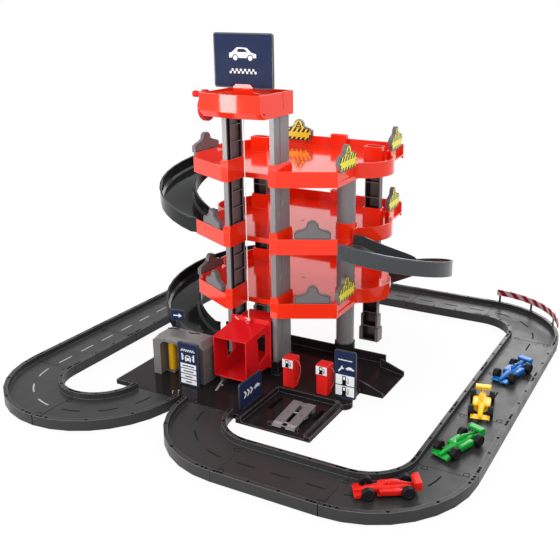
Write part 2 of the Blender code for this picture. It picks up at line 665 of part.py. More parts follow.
def make_deck(level, mouths):
    floor = DECK_LEVELS[level]
    low = floor - RIM_DOWN
    top = floor + RIM_UP
    outline = deck_outline()
    inner = inset(outline, RIM_WALL)
    deck = finish("deck_%d" % (level + 1), loops_solid([
        raised(inner, floor - DECK_SKIN), raised(inner, low), raised(outline, low),
        raised(outline, top), raised(inner, top), raised(inner, floor),
    ]), RED)
    sill = box(AXIS_X - SHAFT_HALF, AXIS_X + SHAFT_HALF, SHAFT_BACK - RIM_WALL, SHAFT_BACK + 2 * RIM_WALL,
               floor + SHAFT_LIP, top + RIM_WALL)
    cut(deck, sill, *[ramp_mouth(hand, at_back, floor, top + RIM_WALL) for hand, at_back in mouths])

    high = top + COLLAR_UP
    sunk = floor - DECK_SKIN / 2
    round_place = (AXIS_X + ROUND_PILLAR[0], ROUND_PILLAR[1])
    round_top = high if level == 1 else top
    bump_y = BACK_Y - RIM_WALL / 2
    collars = [prism(circle(round_place, ROUND_PILLAR_RADIUS + GAP + COLLAR_WALL, 22), low, round_top),
               box(AXIS_X - BUMP_HALF, AXIS_X + BUMP_HALF, BACK_Y - BUMP_DEPTH, bump_y, sunk, top + BUMP_UP)]
    holes = [prism(circle(round_place, ROUND_PILLAR_RADIUS + GAP, 22), low - RIM_WALL, high + RIM_WALL),
             box(AXIS_X - BUMP_HALF + COLLAR_WALL, AXIS_X + BUMP_HALF - COLLAR_WALL,
                 BACK_Y - BUMP_DEPTH + COLLAR_WALL, bump_y - COLLAR_WALL, top - RIM_UP / 2, high + RIM_WALL)]
    shafts = []
    for hand in (-1, 1):
        section = [(AXIS_X + hand * x, z) for x, z in (
            (SHAFT_HALF, low), (COLLAR_OUT + COLLAR_WALL, low), (COLLAR_OUT + COLLAR_WALL, top),
            (COLLAR_OUT, high), (SHAFT_HALF, high))]
        collars.append(prism_y(section, SLOT_FRONT - RIM_WALL / 2, SLOT_BACK + COLLAR_WALL))
        x0, x1 = sorted((AXIS_X + hand * SLOT_IN, AXIS_X + hand * SLOT_OUT))
        holes.append(box(x0, x1, SLOT_FRONT, SLOT_BACK, low - RIM_WALL, high + RIM_WALL))
        collars.append(back_cup(hand, COLLAR_WALL, low, high))
        holes.append(back_cup(hand, 0, floor, high + RIM_WALL))
        x = AXIS_X + hand * BACK_PILLAR[0]
        y = BACK_PILLAR[1]
        half_w = BACK_PILLAR_WIDTH / 2 + GAP
        half_d = BACK_PILLAR_DEPTH / 2 + GAP
        shafts.append(box(x - half_w, x + half_w, y - half_d, y + half_d, low - RIM_WALL, floor + RIM_WALL))
    join(deck, *collars)
    parts = [rim_recess(*recess) for recess in RECESSES[level]]
    spots = [(rim, share) for rim, _, share in RECESSES[level]]
    join(deck, *[on_rim(wall, *spot, floor) for (wall, _, _), spot in zip(parts, spots)])
    cut(deck, *holes)
    pockets = [on_rim(pocket, *spot, floor) for (_, pocket, _), spot in zip(parts, spots)]
    unders = [on_rim(under, *spot, floor) for (_, _, under), spot in zip(parts, spots)
              if BACK_SIDE_RIM[0][1] in (spot[0][0][1], spot[0][1][1])]
    cut(deck, *shafts, *pockets, *unders)


def make_lift_pillar(name, hand):
    """Channel section that opens towards the shaft, with a groove outside and ribs inside."""
    inside = SLOT_IN + GAP
    outside = inside + LIFT_PILLAR_DEPTH
    web = outside - PILLAR_WALL
    front = SLOT_FRONT + GAP
    back = front + LIFT_PILLAR_LENGTH
    rib = front + MID_RIB
    groove = front + GROOVE_START
    section = [(inside, front), (outside, front), (outside, groove), (outside - GROOVE_DEPTH, groove),
               (outside - GROOVE_DEPTH, groove + GROOVE_WIDTH), (outside, groove + GROOVE_WIDTH),
               (outside, back), (inside, back), (inside, back - PILLAR_WALL), (web, back - PILLAR_WALL),
               (web, rib + PILLAR_WALL), (inside + PILLAR_WALL, rib + PILLAR_WALL),
               (inside + PILLAR_WALL, rib), (web, rib), (web, front + PILLAR_WALL),
               (inside, front + PILLAR_WALL)]
    placed_section = [(AXIS_X + hand * x, y) for x, y in section]
    pillar = finish(name, prism(placed_section, BASE_TOP + GAP, LIFT_PILLAR_TOP), GREY)
    ribs = []
    count = int((LIFT_PILLAR_TOP - BASE_TOP) / RIB_PITCH)
    x0, x1 = sorted((AXIS_X + hand * (inside + PILLAR_WALL), AXIS_X + hand * (web + PILLAR_WALL / 2)))
    for n in range(1, count + 1):
        z = BASE_TOP + n * RIB_PITCH
        ribs.append(box(x0, x1, rib + PILLAR_WALL / 2, back - PILLAR_WALL / 2, z, z + RIB_THICK))
    join(pillar, *ribs)


def make_round_pillar():
    place = (AXIS_X + ROUND_PILLAR[0], ROUND_PILLAR[1])
    top = DECK_LEVELS[-1] + RIM_UP - RIM_WALL
    pillar = finish("pillar_front_right", prism(circle(place, ROUND_PILLAR_RADIUS, 22), BASE_TOP + GAP, top),
                    GREY)
    cut(pillar, prism(circle(place, ROUND_PILLAR_RADIUS - PILLAR_WALL, 22), 0, top - PILLAR_WALL))


def make_back_pillar(name, hand):
    """Ribbed channel, open to the front, on a stepped foot."""
    x = AXIS_X + hand * BACK_PILLAR[0]
    y = BACK_PILLAR[1]
    top = COLLAR_TOP - BACK_PILLAR_SUNK
    levels = ((0, FOOT_STEP, 2 * FOOT_GROW), (FOOT_STEP, 2 * FOOT_STEP, FOOT_GROW), (2 * FOOT_STEP, top, 0))
    loops = []
    for low, high, grow in levels:
        half_w = BACK_PILLAR_WIDTH / 2 + grow
        half_d = BACK_PILLAR_DEPTH / 2 + grow
        outline = [(x - half_w, y - half_d), (x + half_w, y - half_d),
                   (x + half_w, y + half_d), (x - half_w, y + half_d)]
        loops += [raised(outline, low), raised(outline, high)]
    pillar = finish(name, loops_solid(loops), GREY)
    half_w = BACK_PILLAR_WIDTH / 2 - PILLAR_WALL
    y_open = y - BACK_PILLAR_DEPTH
    y_back = y + BACK_PILLAR_DEPTH / 2 - PILLAR_WALL
    bays = []
    z = PILLAR_WALL
    while z + RIB_PITCH < top:
        bays.append(box(x - half_w, x + half_w, y_open, y_back, z, z + RIB_PITCH - RIB_THICK))
        z += RIB_PITCH
    cut(pillar, *bays)


def make_ramp(name, hand, level, colour):
    """Half-turn ramp with two walls, falling anticlockwise from one deck to the level below."""
    half = RAMP_WIDTH / 2
    side = [(-half - RAMP_BEAD, RAMP_HEIGHT), (-half - RAMP_BEAD, RAMP_HEIGHT - RAMP_BEAD),
            (-half, RAMP_HEIGHT - 2 * RAMP_BEAD), (-half, -RAMP_SKIRT), (-half + RAMP_WALL, -RAMP_SKIRT),
            (-half + RAMP_WALL, -RAMP_WALL)]
    inner = [(half - 3 * RAMP_WALL, 0), (half - RAMP_WALL, 1.5 * RAMP_WALL), (half - RAMP_WALL, RAMP_HEIGHT)]
    section = (side + [(-a, z) for a, z in reversed(side)] + [(a, z) for a, z in reversed(inner)]
               + [(-a, z) for a, z in inner])
    fall = DECK_PITCH if level else DECK_LEVELS[0] - BASE_TOP
    start_deg = 90 if hand < 0 else -90
    centre = Vector((AXIS_X + hand * RAMP_CENTRE[0], RAMP_CENTRE[1], 0))
    stations = [(start_deg, -RAMP_LEAD, 0.0)]
    stations += [(start_deg + 180 * n / RAMP_STEPS, 0.0, n / RAMP_STEPS) for n in range(RAMP_STEPS + 1)]
    stations += [(start_deg + 180, RAMP_LEAD, 1.0)]
    loops = []
    for turn_deg, lead, share in stations:
        turn = math.radians(turn_deg)
        out = Vector((math.cos(turn), math.sin(turn), 0))
        ahead = Vector((-out.y, out.x, 0))
        floor = DECK_LEVELS[level] - fall * share - RAMP_DROP * (1 - share) ** 4
        origin = centre + out * RAMP_RADIUS + ahead * lead
        loops.append([origin + out * a + Vector((0, 0, floor + z)) for a, z in section])
    ramp = finish(name, loops_solid(loops), colour)
    cut(ramp, prism(inset(deck_outline(), -GAP), 0, 2 * COLLAR_TOP))
    if level == 0:
        cut(ramp, box(BASE_LEFT - GAP, BASE_RIGHT, WING_BACK, BASE_BACK + GAP, 0, 2 * BASE_WALL_TOP))
    return ramp


# Lift

def cage_side(grow=0.0):
    """Side view of the cage in Y and Z; grow moves the floor and the roof outwards."""
    return [(CAGE_FRONT, CAGE_BOTTOM - grow), (CAGE_BACK, CAGE_BOTTOM - grow),
            (CAGE_BACK, CAGE_TOP + ROOF_RISE + grow), (CAGE_PLATE_BACK, CAGE_TOP + ROOF_RISE + grow),
            (CAGE_FRONT, CAGE_TOP + grow)]


def make_cage():
    origin = (AXIS_X, STRING_Y, CAGE_BOTTOM)
    cage = finish("lift_cage", prism_x(cage_side(), AXIS_X - CAGE_HALF, AXIS_X + CAGE_HALF), RED, origin)
    plate = rounded(AXIS_X - PLATE_HALF, AXIS_X + PLATE_HALF, CAGE_BOTTOM, PLATE_TOP, 0.004)
    lug = box(AXIS_X - LUG_SIZE / 2, AXIS_X + LUG_SIZE / 2, STRING_Y - LUG_SIZE / 2, STRING_Y + LUG_SIZE / 2,
              CAGE_TOP, CAGE_TOP + ROOF_RISE + LUG_SIZE / 2)
    join(cage, prism_y(plate, CAGE_PLATE_BACK - PLATE_THICK, CAGE_PLATE_BACK))
    join(cage, lug)
    room = [(y, z) for y, z in cage_side(-CAGE_WALL)]
    room[0] = (CAGE_FRONT - CAGE_WALL, room[0][1])
    room[-1] = (CAGE_FRONT - CAGE_WALL, room[-1][1])
    room[1] = (CAGE_BACK + CAGE_WALL, room[1][1])
    room[2] = (CAGE_BACK + CAGE_WALL, room[2][1])
    cut(cage, prism_x(room, AXIS_X - CAGE_HALF + CAGE_WALL, AXIS_X + CAGE_HALF - CAGE_WALL))
    cut(cage, prism_x(WINDOW, AXIS_X - 2 * CAGE_HALF, AXIS_X + 2 * CAGE_HALF))


def bowed(profile, half, steps=8):
    """Side view in Y and Z drawn along X; what lies in front of the winch bulges forwards."""
    loops = []
    for n in range(steps + 1):
        x = half * (2 * n / steps - 1)
        bulge = HEAD_BOW * (1 - (x / half) ** 2)
        loops.append([(AXIS_X + x, y - bulge if y < DRUM_Y else y, z) for y, z in profile])
    return loops_solid(loops)


def make_head():
    """Housing on top of the lift pillars: a tray above, the winch's room below."""
    profile = [(HEAD_FRONT + HEAD_CHAMFER, HEAD_BOTTOM), (HEAD_BACK, HEAD_BOTTOM), (HEAD_BACK, HEAD_TOP),
               (HEAD_FRONT, HEAD_TOP), (HEAD_FRONT, HEAD_BOTTOM + HEAD_CHAMFER)]
    head = finish("lift_head", bowed(profile, HEAD_HALF), RED)
    reach = HEAD_HALF - HEAD_WALL
    x0 = AXIS_X - reach
    x1 = AXIS_X + reach
    front = HEAD_FRONT + HEAD_WALL
    rear = HEAD_BACK - HEAD_WALL
    tray = [(front, TRAY_FLOOR), (rear, TRAY_FLOOR), (rear, HEAD_TOP + HEAD_WALL),
            (front, HEAD_TOP + HEAD_WALL)]
    ceiling = TRAY_FLOOR - HEAD_WALL
    sloped = HEAD_FRONT + HEAD_CHAMFER + HEAD_WALL / 2
    room = [(sloped, HEAD_BOTTOM - HEAD_WALL), (rear, HEAD_BOTTOM - HEAD_WALL), (rear, ceiling),
            (front, ceiling), (front, HEAD_BOTTOM + HEAD_CHAMFER + HEAD_WALL / 2),
            (sloped, HEAD_BOTTOM + HEAD_WALL)]
    cut(head, bowed(tray, reach), bowed(room, reach))
    boss = prism_x(circle((DRUM_Y, DRUM_Z), AXLE_RADIUS * 2.2, 16), x1 - AXLE_RADIUS * 2, x1 + HEAD_WALL / 2)
    low = TRAY_FLOOR - HEAD_WALL / 2
    half_tab = [(TAB_FOOT, low), (TAB_FOOT, TRAY_FLOOR + TRAY_DEPTH * 0.6),
                (TAB_HALF, TRAY_FLOOR + TRAY_DEPTH), (TAB_HALF, TRAY_FLOOR + TAB_HEIGHT * 0.7),
                (TAB_HALF * 0.75, TRAY_FLOOR + TAB_HEIGHT)]
    tab = [(AXIS_X + x, z) for x, z in half_tab] + [(AXIS_X - x, z) for x, z in reversed(half_tab)]
    face = SIGN_Y - SIGN_THICK / 2 - GAP
    rear = SIGN_Y + SIGN_THICK / 2 + GAP
    join(head, boss, prism_y(tab, face - HEAD_WALL, face),
         box(AXIS_X - SIGN_FOOT / 2, AXIS_X + SIGN_FOOT / 2, rear, rear + HEAD_WALL, low, HEAD_TOP))
    groove_y = HEAD_FRONT + 0.66 * (HEAD_BACK - HEAD_FRONT)
    cut(head, prism_x(circle((DRUM_Y, DRUM_Z), AXLE_RADIUS + GAP, 16), x0 - 2 * HEAD_WALL, x0 + HEAD_WALL),
        prism_x(circle((DRUM_Y, DRUM_Z), AXLE_RADIUS + GAP, 16), x1 - AXLE_RADIUS * 3, x1),
        box(AXIS_X + HEAD_HALF - HEAD_GROOVE, AXIS_X + HEAD_HALF + HEAD_GROOVE, groove_y,
            groove_y + 2 * HEAD_GROOVE, HEAD_BOTTOM + HEAD_CHAMFER, HEAD_TOP + HEAD_WALL))


def make_winch():
    """Drum, axle, disc and handle, turned as one piece."""
    disc_in = -HEAD_HALF - DISC_GAP
    disc_out = disc_in - DISC_THICK
    profile = [(HEAD_HALF - HEAD_WALL - GAP, AXLE_RADIUS), (DRUM_HALF + 0.002, AXLE_RADIUS),
               (DRUM_HALF + 0.002, DRUM_FLANGE), (DRUM_HALF, DRUM_FLANGE), (DRUM_HALF, DRUM_RADIUS),
               (-DRUM_HALF, DRUM_RADIUS), (-DRUM_HALF, DRUM_FLANGE), (-DRUM_HALF - 0.002, DRUM_FLANGE),
               (-DRUM_HALF - 0.002, AXLE_RADIUS), (disc_in, AXLE_RADIUS), (disc_in, DISC_RADIUS),
               (disc_out + 0.0015, DISC_RADIUS), (disc_out, DISC_RADIUS - 0.0015)]
    profile = [(AXIS_X + x, radius) for x, radius in profile]
    winch = finish("winch_crank", lathe("x", (DRUM_Y, DRUM_Z), profile, 16), RED, (AXIS_X, DRUM_Y, DRUM_Z))
    knob_at = (DRUM_Y, DRUM_Z + DISC_RADIUS - KNOB_RADIUS / 2)
    x = AXIS_X + disc_out
    knob = [(x + DISC_THICK * 0.9, KNOB_RADIUS * 1.5), (x - 0.003, KNOB_RADIUS * 1.5),
            (x - 0.003, KNOB_RADIUS * 0.8), (x - KNOB_LENGTH + 0.012, KNOB_RADIUS * 0.8),
            (x - KNOB_LENGTH + 0.010, KNOB_RADIUS), (x - KNOB_LENGTH + 0.002, KNOB_RADIUS),
            (x - KNOB_LENGTH, KNOB_RADIUS * 0.7)]
    join(winch, lathe("x", knob_at, knob, 12))


def make_string():
    finish("lift_string", lathe("z", (AXIS_X, STRING_Y), [
        (CAGE_TOP + ROOF_RISE + LUG_SIZE / 2 + GAP, STRING_RADIUS), (DRUM_Z, STRING_RADIUS)], 6), CORD)


def make_top_sign():
    outline = rounded(AXIS_X - SIGN_WIDTH / 2, AXIS_X + SIGN_WIDTH / 2, SIGN_BOTTOM, SIGN_TOP, 0.005)
    sign = finish("top_sign", prism_y(outline, SIGN_Y - SIGN_THICK / 2, SIGN_Y + SIGN_THICK / 2), NAVY)
    join(sign, box(AXIS_X - SIGN_FOOT / 2, AXIS_X + SIGN_FOOT / 2, SIGN_Y - SIGN_THICK / 2,
                   SIGN_Y + SIGN_THICK / 2, TRAY_FLOOR + GAP, SIGN_BOTTOM + SIGN_THICK))


# Car wash, boards, pumps

def sloped_off(outline, front, back, chamfer, top):
    """Outline in X and Z drawn along Y, with its upper edge sloped off in front and behind."""
    loops = []
    for y, drop in ((front, chamfer), (front + chamfer, 0), (back - chamfer, 0), (back, chamfer)):
        loops.append([(x, y, min(z, top - drop)) for x, z in outline])
    return loops_solid(loops)


def roller_places():
    x = WASH_OPENING / 2 - ROLLER_RADIUS - 2 * PIN_RADIUS * 0.25
    y = WASH_FRONT + WASH_DEPTH / 2
    return [(WASH_X - x, y), (WASH_X + x, y)]


def make_wash():
    half = WASH_WIDTH / 2
    low = BASE_TOP + GAP
    outline = [(WASH_X - half, low), (WASH_X + half, low), (WASH_X + half, WASH_TOP - WASH_CHAMFER),
               (WASH_X + half - WASH_CHAMFER, WASH_TOP), (WASH_X - half + WASH_CHAMFER, WASH_TOP),
               (WASH_X - half, WASH_TOP - WASH_CHAMFER)]
    back = WASH_FRONT + WASH_DEPTH
    wash = finish("car_wash_housing", sloped_off(outline, WASH_FRONT, back, WASH_CHAMFER / 2, WASH_TOP),
                  HOUSING)
    reach = WASH_OPENING / 2
    head = BASE_TOP + WASH_HEADROOM
    way = [(WASH_X - reach, 0), (WASH_X + reach, 0), (WASH_X + reach, head - WASH_LINTEL),
           (WASH_X + reach - WASH_LINTEL, head), (WASH_X - reach + WASH_LINTEL, head),
           (WASH_X - reach, head - WASH_LINTEL)]
    cut(wash, prism_y(way, WASH_FRONT - 0.01, back + 0.01))
    shelves = []
    pins = []
    for hand, (x, y) in zip((-1, 1), roller_places()):
        x0, x1 = sorted((WASH_X + hand * (CAR_WIDTH / 2 + 0.001), WASH_X + hand * (reach + PIN_RADIUS)))
        shelves.append(box(x0, x1, y - ROLLER_RADIUS, y + ROLLER_RADIUS, low, low + ROLLER_SHELF))
        pins.append(prism(circle((x, y), PIN_RADIUS + GAP, 10), low - ROLLER_SHELF, low + 2 * ROLLER_SHELF))
        pins.append(prism(circle((x, y), PIN_RADIUS + GAP, 10), head - 0.001, head + PIN_LENGTH + GAP))
        finish("wash_roller_" + ("left" if hand < 0 else "right"),
               roller((x, y), low + ROLLER_SHELF + GAP, head - WASH_LINTEL - GAP), ROLLER, (x, y, low))
    join(wash, *shelves)
    cut(wash, *pins)


def roller(place, low, high):
    """Brush roller: a tufted barrel with a pin at both ends."""
    loops = []
    stations = ((low - ROLLER_SHELF + GAP, 0), (low, 0), (low, 1), (high, 1), (high, 0),
                (high + WASH_LINTEL + PIN_LENGTH, 0))
    for z, full in stations:
        ring = []
        for n in range(2 * ROLLER_TUFTS):
            turn = math.pi * n / ROLLER_TUFTS
            radius = (ROLLER_RADIUS if n % 2 else 0.82 * ROLLER_RADIUS) if full else PIN_RADIUS
            ring.append((place[0] + radius * math.cos(turn), place[1] + radius * math.sin(turn), z))
        loops.append(ring)
    return loops_solid(loops)


def make_boards():
    """Upright boards, each on a foot that stands on the base."""
    half = BOARD_THICK / 2
    x, y, width, height = WASH_BOARD
    low = BASE_TOP + GAP
    board = rounded(x, x + width, low + BOARD_FOOT, low + BOARD_FOOT + height, 0.004)
    made = finish("wash_sign", prism_y(board, y - half, y + half), NAVY)
    join(made, box(x + 0.006, x + width - 0.006, y - 2 * half, y + 2 * half, low, low + 2 * BOARD_FOOT))
    x, y, width, height = FUEL_BOARD
    low = BOSS_TOP + GAP
    board = rounded(x, x + width, low + BOARD_FOOT, low + BOARD_FOOT + height, 0.004)
    made = finish("fuel_sign", prism_y(board, y - half, y + half), NAVY)
    join(made, box(x + 0.015, x + width - 0.006, y - 2 * half, y + 2 * half, low, low + 2 * BOARD_FOOT))
    x, y, width, height = LANE_BOARD
    low = BASE_TOP + GAP
    board = rounded(y, y + width, low + BOARD_FOOT, low + BOARD_FOOT + height, 0.004)
    made = finish("parking_sign", prism_x(board, x - half, x + half), NAVY)
    join(made, box(x - 2 * half, x + 2 * half, y + 0.006, y + width - 0.006, low, low + 2 * BOARD_FOOT))


def make_pump(name, place):
    """Fuel pump: a cabinet under a wider head, and a hose that loops down its right side."""
    width, depth, height = PUMP_SIZE
    x0, y0 = place
    x1 = x0 + width
    low = BASE_TOP + GAP
    top = low + height
    neck = top - PUMP_HEAD
    half = [(x1 - PUMP_NECK, low), (x1 - PUMP_NECK, neck), (x1, neck + PUMP_NECK), (x1, top - PUMP_CHAMFER),
            (x1 - PUMP_CHAMFER, top)]
    outline = half + [(x0 + x1 - x, z) for x, z in reversed(half)]
    pump = finish(name, sloped_off(outline, y0, y0 + depth, PUMP_CHAMFER, top), RED)
    hook = [(x1 - 0.002, 0, top - 0.011), (x1 + 0.006, 0, top - 0.009), (x1 + 0.0105, 0, top - 0.016),
            (x1 + 0.0115, 0, top - 0.026), (x1 + 0.0100, 0, top - 0.040), (x1 + 0.0095, 0, low + 0.014),
            (x1 + 0.005, 0, low + 0.008), (x1 - 2 * PUMP_NECK, 0, low + 0.008)]
    join(pump, placed(tube(hook, HOSE_RADIUS), (0, y0 + depth / 2, 0)))


def make_service_lift():
    """Two inclined tracks with raised edges, on an axle at their low front end."""
    y0, z0 = SERVICE_HINGE
    end = y0 + SERVICE_LENGTH
    rise = SERVICE_RISE
    thick = SERVICE_THICK
    under = z0 - SERVICE_AXLE
    outline = [(y0 - SERVICE_LIP, z0 - SERVICE_LIP), (y0 + SERVICE_AXLE, under), (end, under + rise),
               (end, under + rise + thick), (y0, under + thick),
               (y0 - SERVICE_LIP, z0 - 0.8 * SERVICE_LIP)]
    right = SERVICE_LEFT + SERVICE_WIDTH
    lift = finish("service_lift", prism_x(outline, SERVICE_LEFT, SERVICE_LEFT + SERVICE_TRACK), CLIP_GREY,
                  (SERVICE_LEFT, *SERVICE_HINGE))
    join(lift, prism_x(outline, right - SERVICE_TRACK, right))
    brace = [(end - 0.011, BAY_FLOOR + GAP), (end, BAY_FLOOR + GAP), (end, z0 + rise),
             (end - 0.011, z0 + rise - 0.001)]
    join(lift, prism_x(brace, SERVICE_LEFT + SERVICE_EDGE, right - SERVICE_EDGE))
    join(lift, prism_x(circle(SERVICE_HINGE, SERVICE_AXLE, 12), SERVICE_LEFT - SERVICE_AXLE * 2,
                       right + SERVICE_AXLE * 2))
    lever_y = y0 + SERVICE_LENGTH * 0.5
    lever_z = z0 + rise / 2
    join(lift, box(right - 0.002, right + 0.004, lever_y - 0.003, lever_y + 0.003,
                   lever_z - 0.001, lever_z + 0.004))
    join(lift, box(right + 0.001, right + 0.004, lever_y - LEVER_LENGTH / 2, lever_y + 0.002,
                   lever_z + 0.001, lever_z + 0.007))


# Clip-on boards

def hat_outline(half):
    """Front view of a clip-on board above the rim: low shoulders and a round middle."""
    shoulder = [(half, 0), (half, 0.34 * CLIP_HEIGHT), (0.84 * half, 0.44 * CLIP_HEIGHT),
                (0.5 * half, 0.54 * CLIP_HEIGHT)]
    dome = arc((0, CLIP_HEIGHT - CLIP_DOME), CLIP_DOME, -5, 185, 8)
    return shoulder + dome + [(-x, z) for x, z in reversed(shoulder)]


def make_clip(name, level, rim, share, outward):
    """Board on a deck's rim: full thickness above the rim, a leaf below it on the picture side."""
    half = (SIDE_CLIP_WIDTH if outward else CLIP_WIDTH) / 2
    leaf = CLIP_THICK - RIM_WALL - GAP
    bottom = DECK_LEVELS[level] + RIM_UP + GAP
    colour = YELLOW if outward and rim[0][0] > 0 or rim == BACK_RIM else CLIP_GREY
    if outward:
        bottom += CLIP_LIFT
        recess = SIDE_RECESS if CORNER[1] in (rim[0][1], rim[1][1]) else BACK_RECESS
        front = recess[2] - GAP - leaf
        picture = (front, front + leaf)
    else:
        front = 0
        picture = (CLIP_THICK - leaf, CLIP_THICK)
    clip = finish(name, on_rim(prism_y(hat_outline(half), front, front + CLIP_THICK), rim, share, bottom),
                  colour)
    join(clip, on_rim(box(CLIP_INSET - half, half - CLIP_INSET, *picture, -CLIP_GRIP, RIM_WALL),
                      rim, share, bottom))


# Cars

def car_body():
    """Racing car shape, nose along X, on the ground at its middle."""
    stations = (            # place along the length; half width of the width; low, high in wheel radii
        (0.500, 0.074, 0.57, 0.95), (0.400, 0.106, 0.52, 1.19), (0.200, 0.138, 0.48, 1.48),
        (0.080, 0.213, 0.43, 1.67), (0.030, 0.351, 0.43, 1.57), (-0.120, 0.372, 0.43, 1.52),
        (-0.200, 0.234, 0.48, 1.52), (-0.430, 0.149, 0.52, 1.43))
    loops = []
    for share, across, low, high in stations:
        half = across * CAR_WIDTH
        low *= WHEEL_RADIUS
        high *= WHEEL_RADIUS
        bevel = 0.3 * (high - low)
        loops.append([(share * CAR_LENGTH, y, z) for y, z in (
            (-half + bevel, low), (half - bevel, low), (half, low + bevel), (half, high - bevel),
            (half - bevel, high), (-half + bevel, high), (-half, high - bevel), (-half, low + bevel))])
    return loops_solid(loops)


def make_car(colour, place, heading):
    here = (place[0], place[1], ROAD_HEIGHT + GAP)
    name = "car_" + colour
    body = finish(name + "_body", placed(car_body(), here, heading), CAR_COLOURS[colour], here)
    unit = WHEEL_RADIUS
    nose = CAR_LENGTH / 2
    wing = 0.48 * CAR_WIDTH
    rear = 0.37 * CAR_WIDTH
    side = (0.019, 1.33), (-0.037, 2.24), (-0.093, 2.29), (-0.407, 1.52), (-0.407, 1.14)
    hood = prism_y([(x * CAR_LENGTH, z * unit) for x, z in side], -0.074 * CAR_WIDTH, 0.074 * CAR_WIDTH)
    join(body, placed(hood, here, heading))
    join(body, placed(box(nose - WING_CHORD, nose, -wing, wing, 0.43 * unit, 0.67 * unit), here, heading))
    edge = rear - WING_PLATE
    frame = [(-rear, 0.95 * unit), (-edge, 0.95 * unit), (-edge, 1.95 * unit), (edge, 1.95 * unit),
             (edge, 0.95 * unit), (rear, 0.95 * unit), (rear, 2.38 * unit), (-rear, 2.38 * unit)]
    post = box(-nose + 0.2 * WING_CHORD, -nose + 1.3 * WING_CHORD, -WING_PLATE, WING_PLATE,
               0.95 * unit, 2.05 * unit)
    join(body, placed(prism_x(frame, -nose, -nose + WING_CHORD), here, heading))
    join(body, placed(post, here, heading))
    turn = math.radians(heading)
    out = CAR_WIDTH / 2
    rim = 0.14 * WHEEL_RADIUS
    half = [(-out + rim, 0.60 * WHEEL_RADIUS), (-out, 0.68 * WHEEL_RADIUS), (-out + rim, WHEEL_RADIUS),
            (-out + WHEEL_WIDTH, WHEEL_RADIUS), (-out + WHEEL_WIDTH, CAR_AXLE_RADIUS)]
    profile = half + [(-y, radius) for y, radius in reversed(half)]
    holes = []
    for end, x in (("front", WHEELBASE / 2), ("rear", -WHEELBASE / 2)):
        bore = [(-out, CAR_AXLE_RADIUS + GAP), (out, CAR_AXLE_RADIUS + GAP)]
        holes.append(placed(lathe("y", (x, WHEEL_RADIUS), bore, 10), here, heading))
        axis_at = (here[0] + x * math.cos(turn), here[1] + x * math.sin(turn), here[2] + WHEEL_RADIUS)
        finish("%s_axle_%s" % (name, end), placed(lathe("y", (x, WHEEL_RADIUS), profile, 12), here, heading),
               TYRE, axis_at)
    cut(body, *holes)


make_tracks()
make_rail()
make_base()
make_deck(0, ((1, True), (-1, True)))
make_deck(1, ((1, False), (-1, False)))
make_deck(2, ((-1, True),))
make_lift_pillar("lift_pillar_left", -1)
make_lift_pillar("lift_pillar_right", 1)
make_round_pillar()
make_back_pillar("pillar_back_left", -1)
make_back_pillar("pillar_back_right", 1)
make_ramp("ramp_upper", -1, 2, RAMP)
make_ramp("ramp_middle", 1, 1, RAMP_GREY)
make_ramp("ramp_lower", -1, 0, RAMP)
make_cage()
make_head()
make_winch()
make_string()
make_top_sign()
make_wash()
make_boards()
make_pump("fuel_pump_left", PUMPS[0])
make_pump("fuel_pump_right", PUMPS[1])
make_service_lift()
for clip, (clip_level, clip_rim, clip_share, clip_outward) in CLIPS.items():
    make_clip(clip, clip_level, clip_rim, clip_share, clip_outward)
for car, (car_x, car_y, car_heading) in CARS.items():
    make_car(car, (car_x, car_y), car_heading)
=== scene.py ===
import math

import bmesh
import bpy
import numpy as np
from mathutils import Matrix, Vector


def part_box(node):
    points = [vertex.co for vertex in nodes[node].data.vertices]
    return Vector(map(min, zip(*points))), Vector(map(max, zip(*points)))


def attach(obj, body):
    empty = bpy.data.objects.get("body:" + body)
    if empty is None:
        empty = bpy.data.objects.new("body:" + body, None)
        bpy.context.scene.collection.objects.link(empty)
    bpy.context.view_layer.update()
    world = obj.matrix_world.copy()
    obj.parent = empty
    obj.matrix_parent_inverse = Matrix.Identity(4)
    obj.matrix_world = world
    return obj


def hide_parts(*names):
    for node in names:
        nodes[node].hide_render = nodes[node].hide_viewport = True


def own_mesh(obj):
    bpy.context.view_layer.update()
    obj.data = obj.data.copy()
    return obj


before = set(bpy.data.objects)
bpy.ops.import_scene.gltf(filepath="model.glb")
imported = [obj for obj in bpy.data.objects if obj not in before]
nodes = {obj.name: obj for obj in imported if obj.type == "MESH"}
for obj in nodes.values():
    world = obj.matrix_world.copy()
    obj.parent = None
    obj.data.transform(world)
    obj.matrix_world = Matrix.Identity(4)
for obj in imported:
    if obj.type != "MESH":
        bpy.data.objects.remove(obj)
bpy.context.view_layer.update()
print("frame: %d nodes" % len(nodes))

mm = 0.001
xAxis, yAxis, zAxis = (1, 0, 0), (0, 1, 0), (0, 0, 1)
axisX = -0.050                  # middle of the lift shaft

# camera, fitted to the tile seams of the photograph
cameraView = {"place": (0.7908, -1.4365, 0.7598), "turn": (1.2668, 0.0, 0.4827),
              "lens": 51.83, "shift": (-0.0642, -0.0502)}


def linear(*levels):            # screen colour, 0 to 255, to the shader's own scale, with full cover
    share = np.array(levels) / 255.0
    return (*np.where(share < 0.04045, share / 12.92, ((share + 0.055) / 1.055) ** 2.4), 1.0)


# node helpers
def addNode(tree, kind, settings=None, **inputs):
    node = tree.nodes.new(kind)
    for key, value in (settings or {}).items():
        setattr(node, key, value)
    for key, value in inputs.items():
        feed(tree, node.inputs[key.replace("_", " ")], value)
    return node


def feed(tree, socket, value):
    if isinstance(value, bpy.types.NodeSocket):
        tree.links.new(value, socket)
    else:
        socket.default_value = value


def calc(tree, operation, *values):
    node = tree.nodes.new("ShaderNodeMath")
    node.operation = operation
    for socket, value in zip(node.inputs, values):
        feed(tree, socket, value)
    return node.outputs[0]


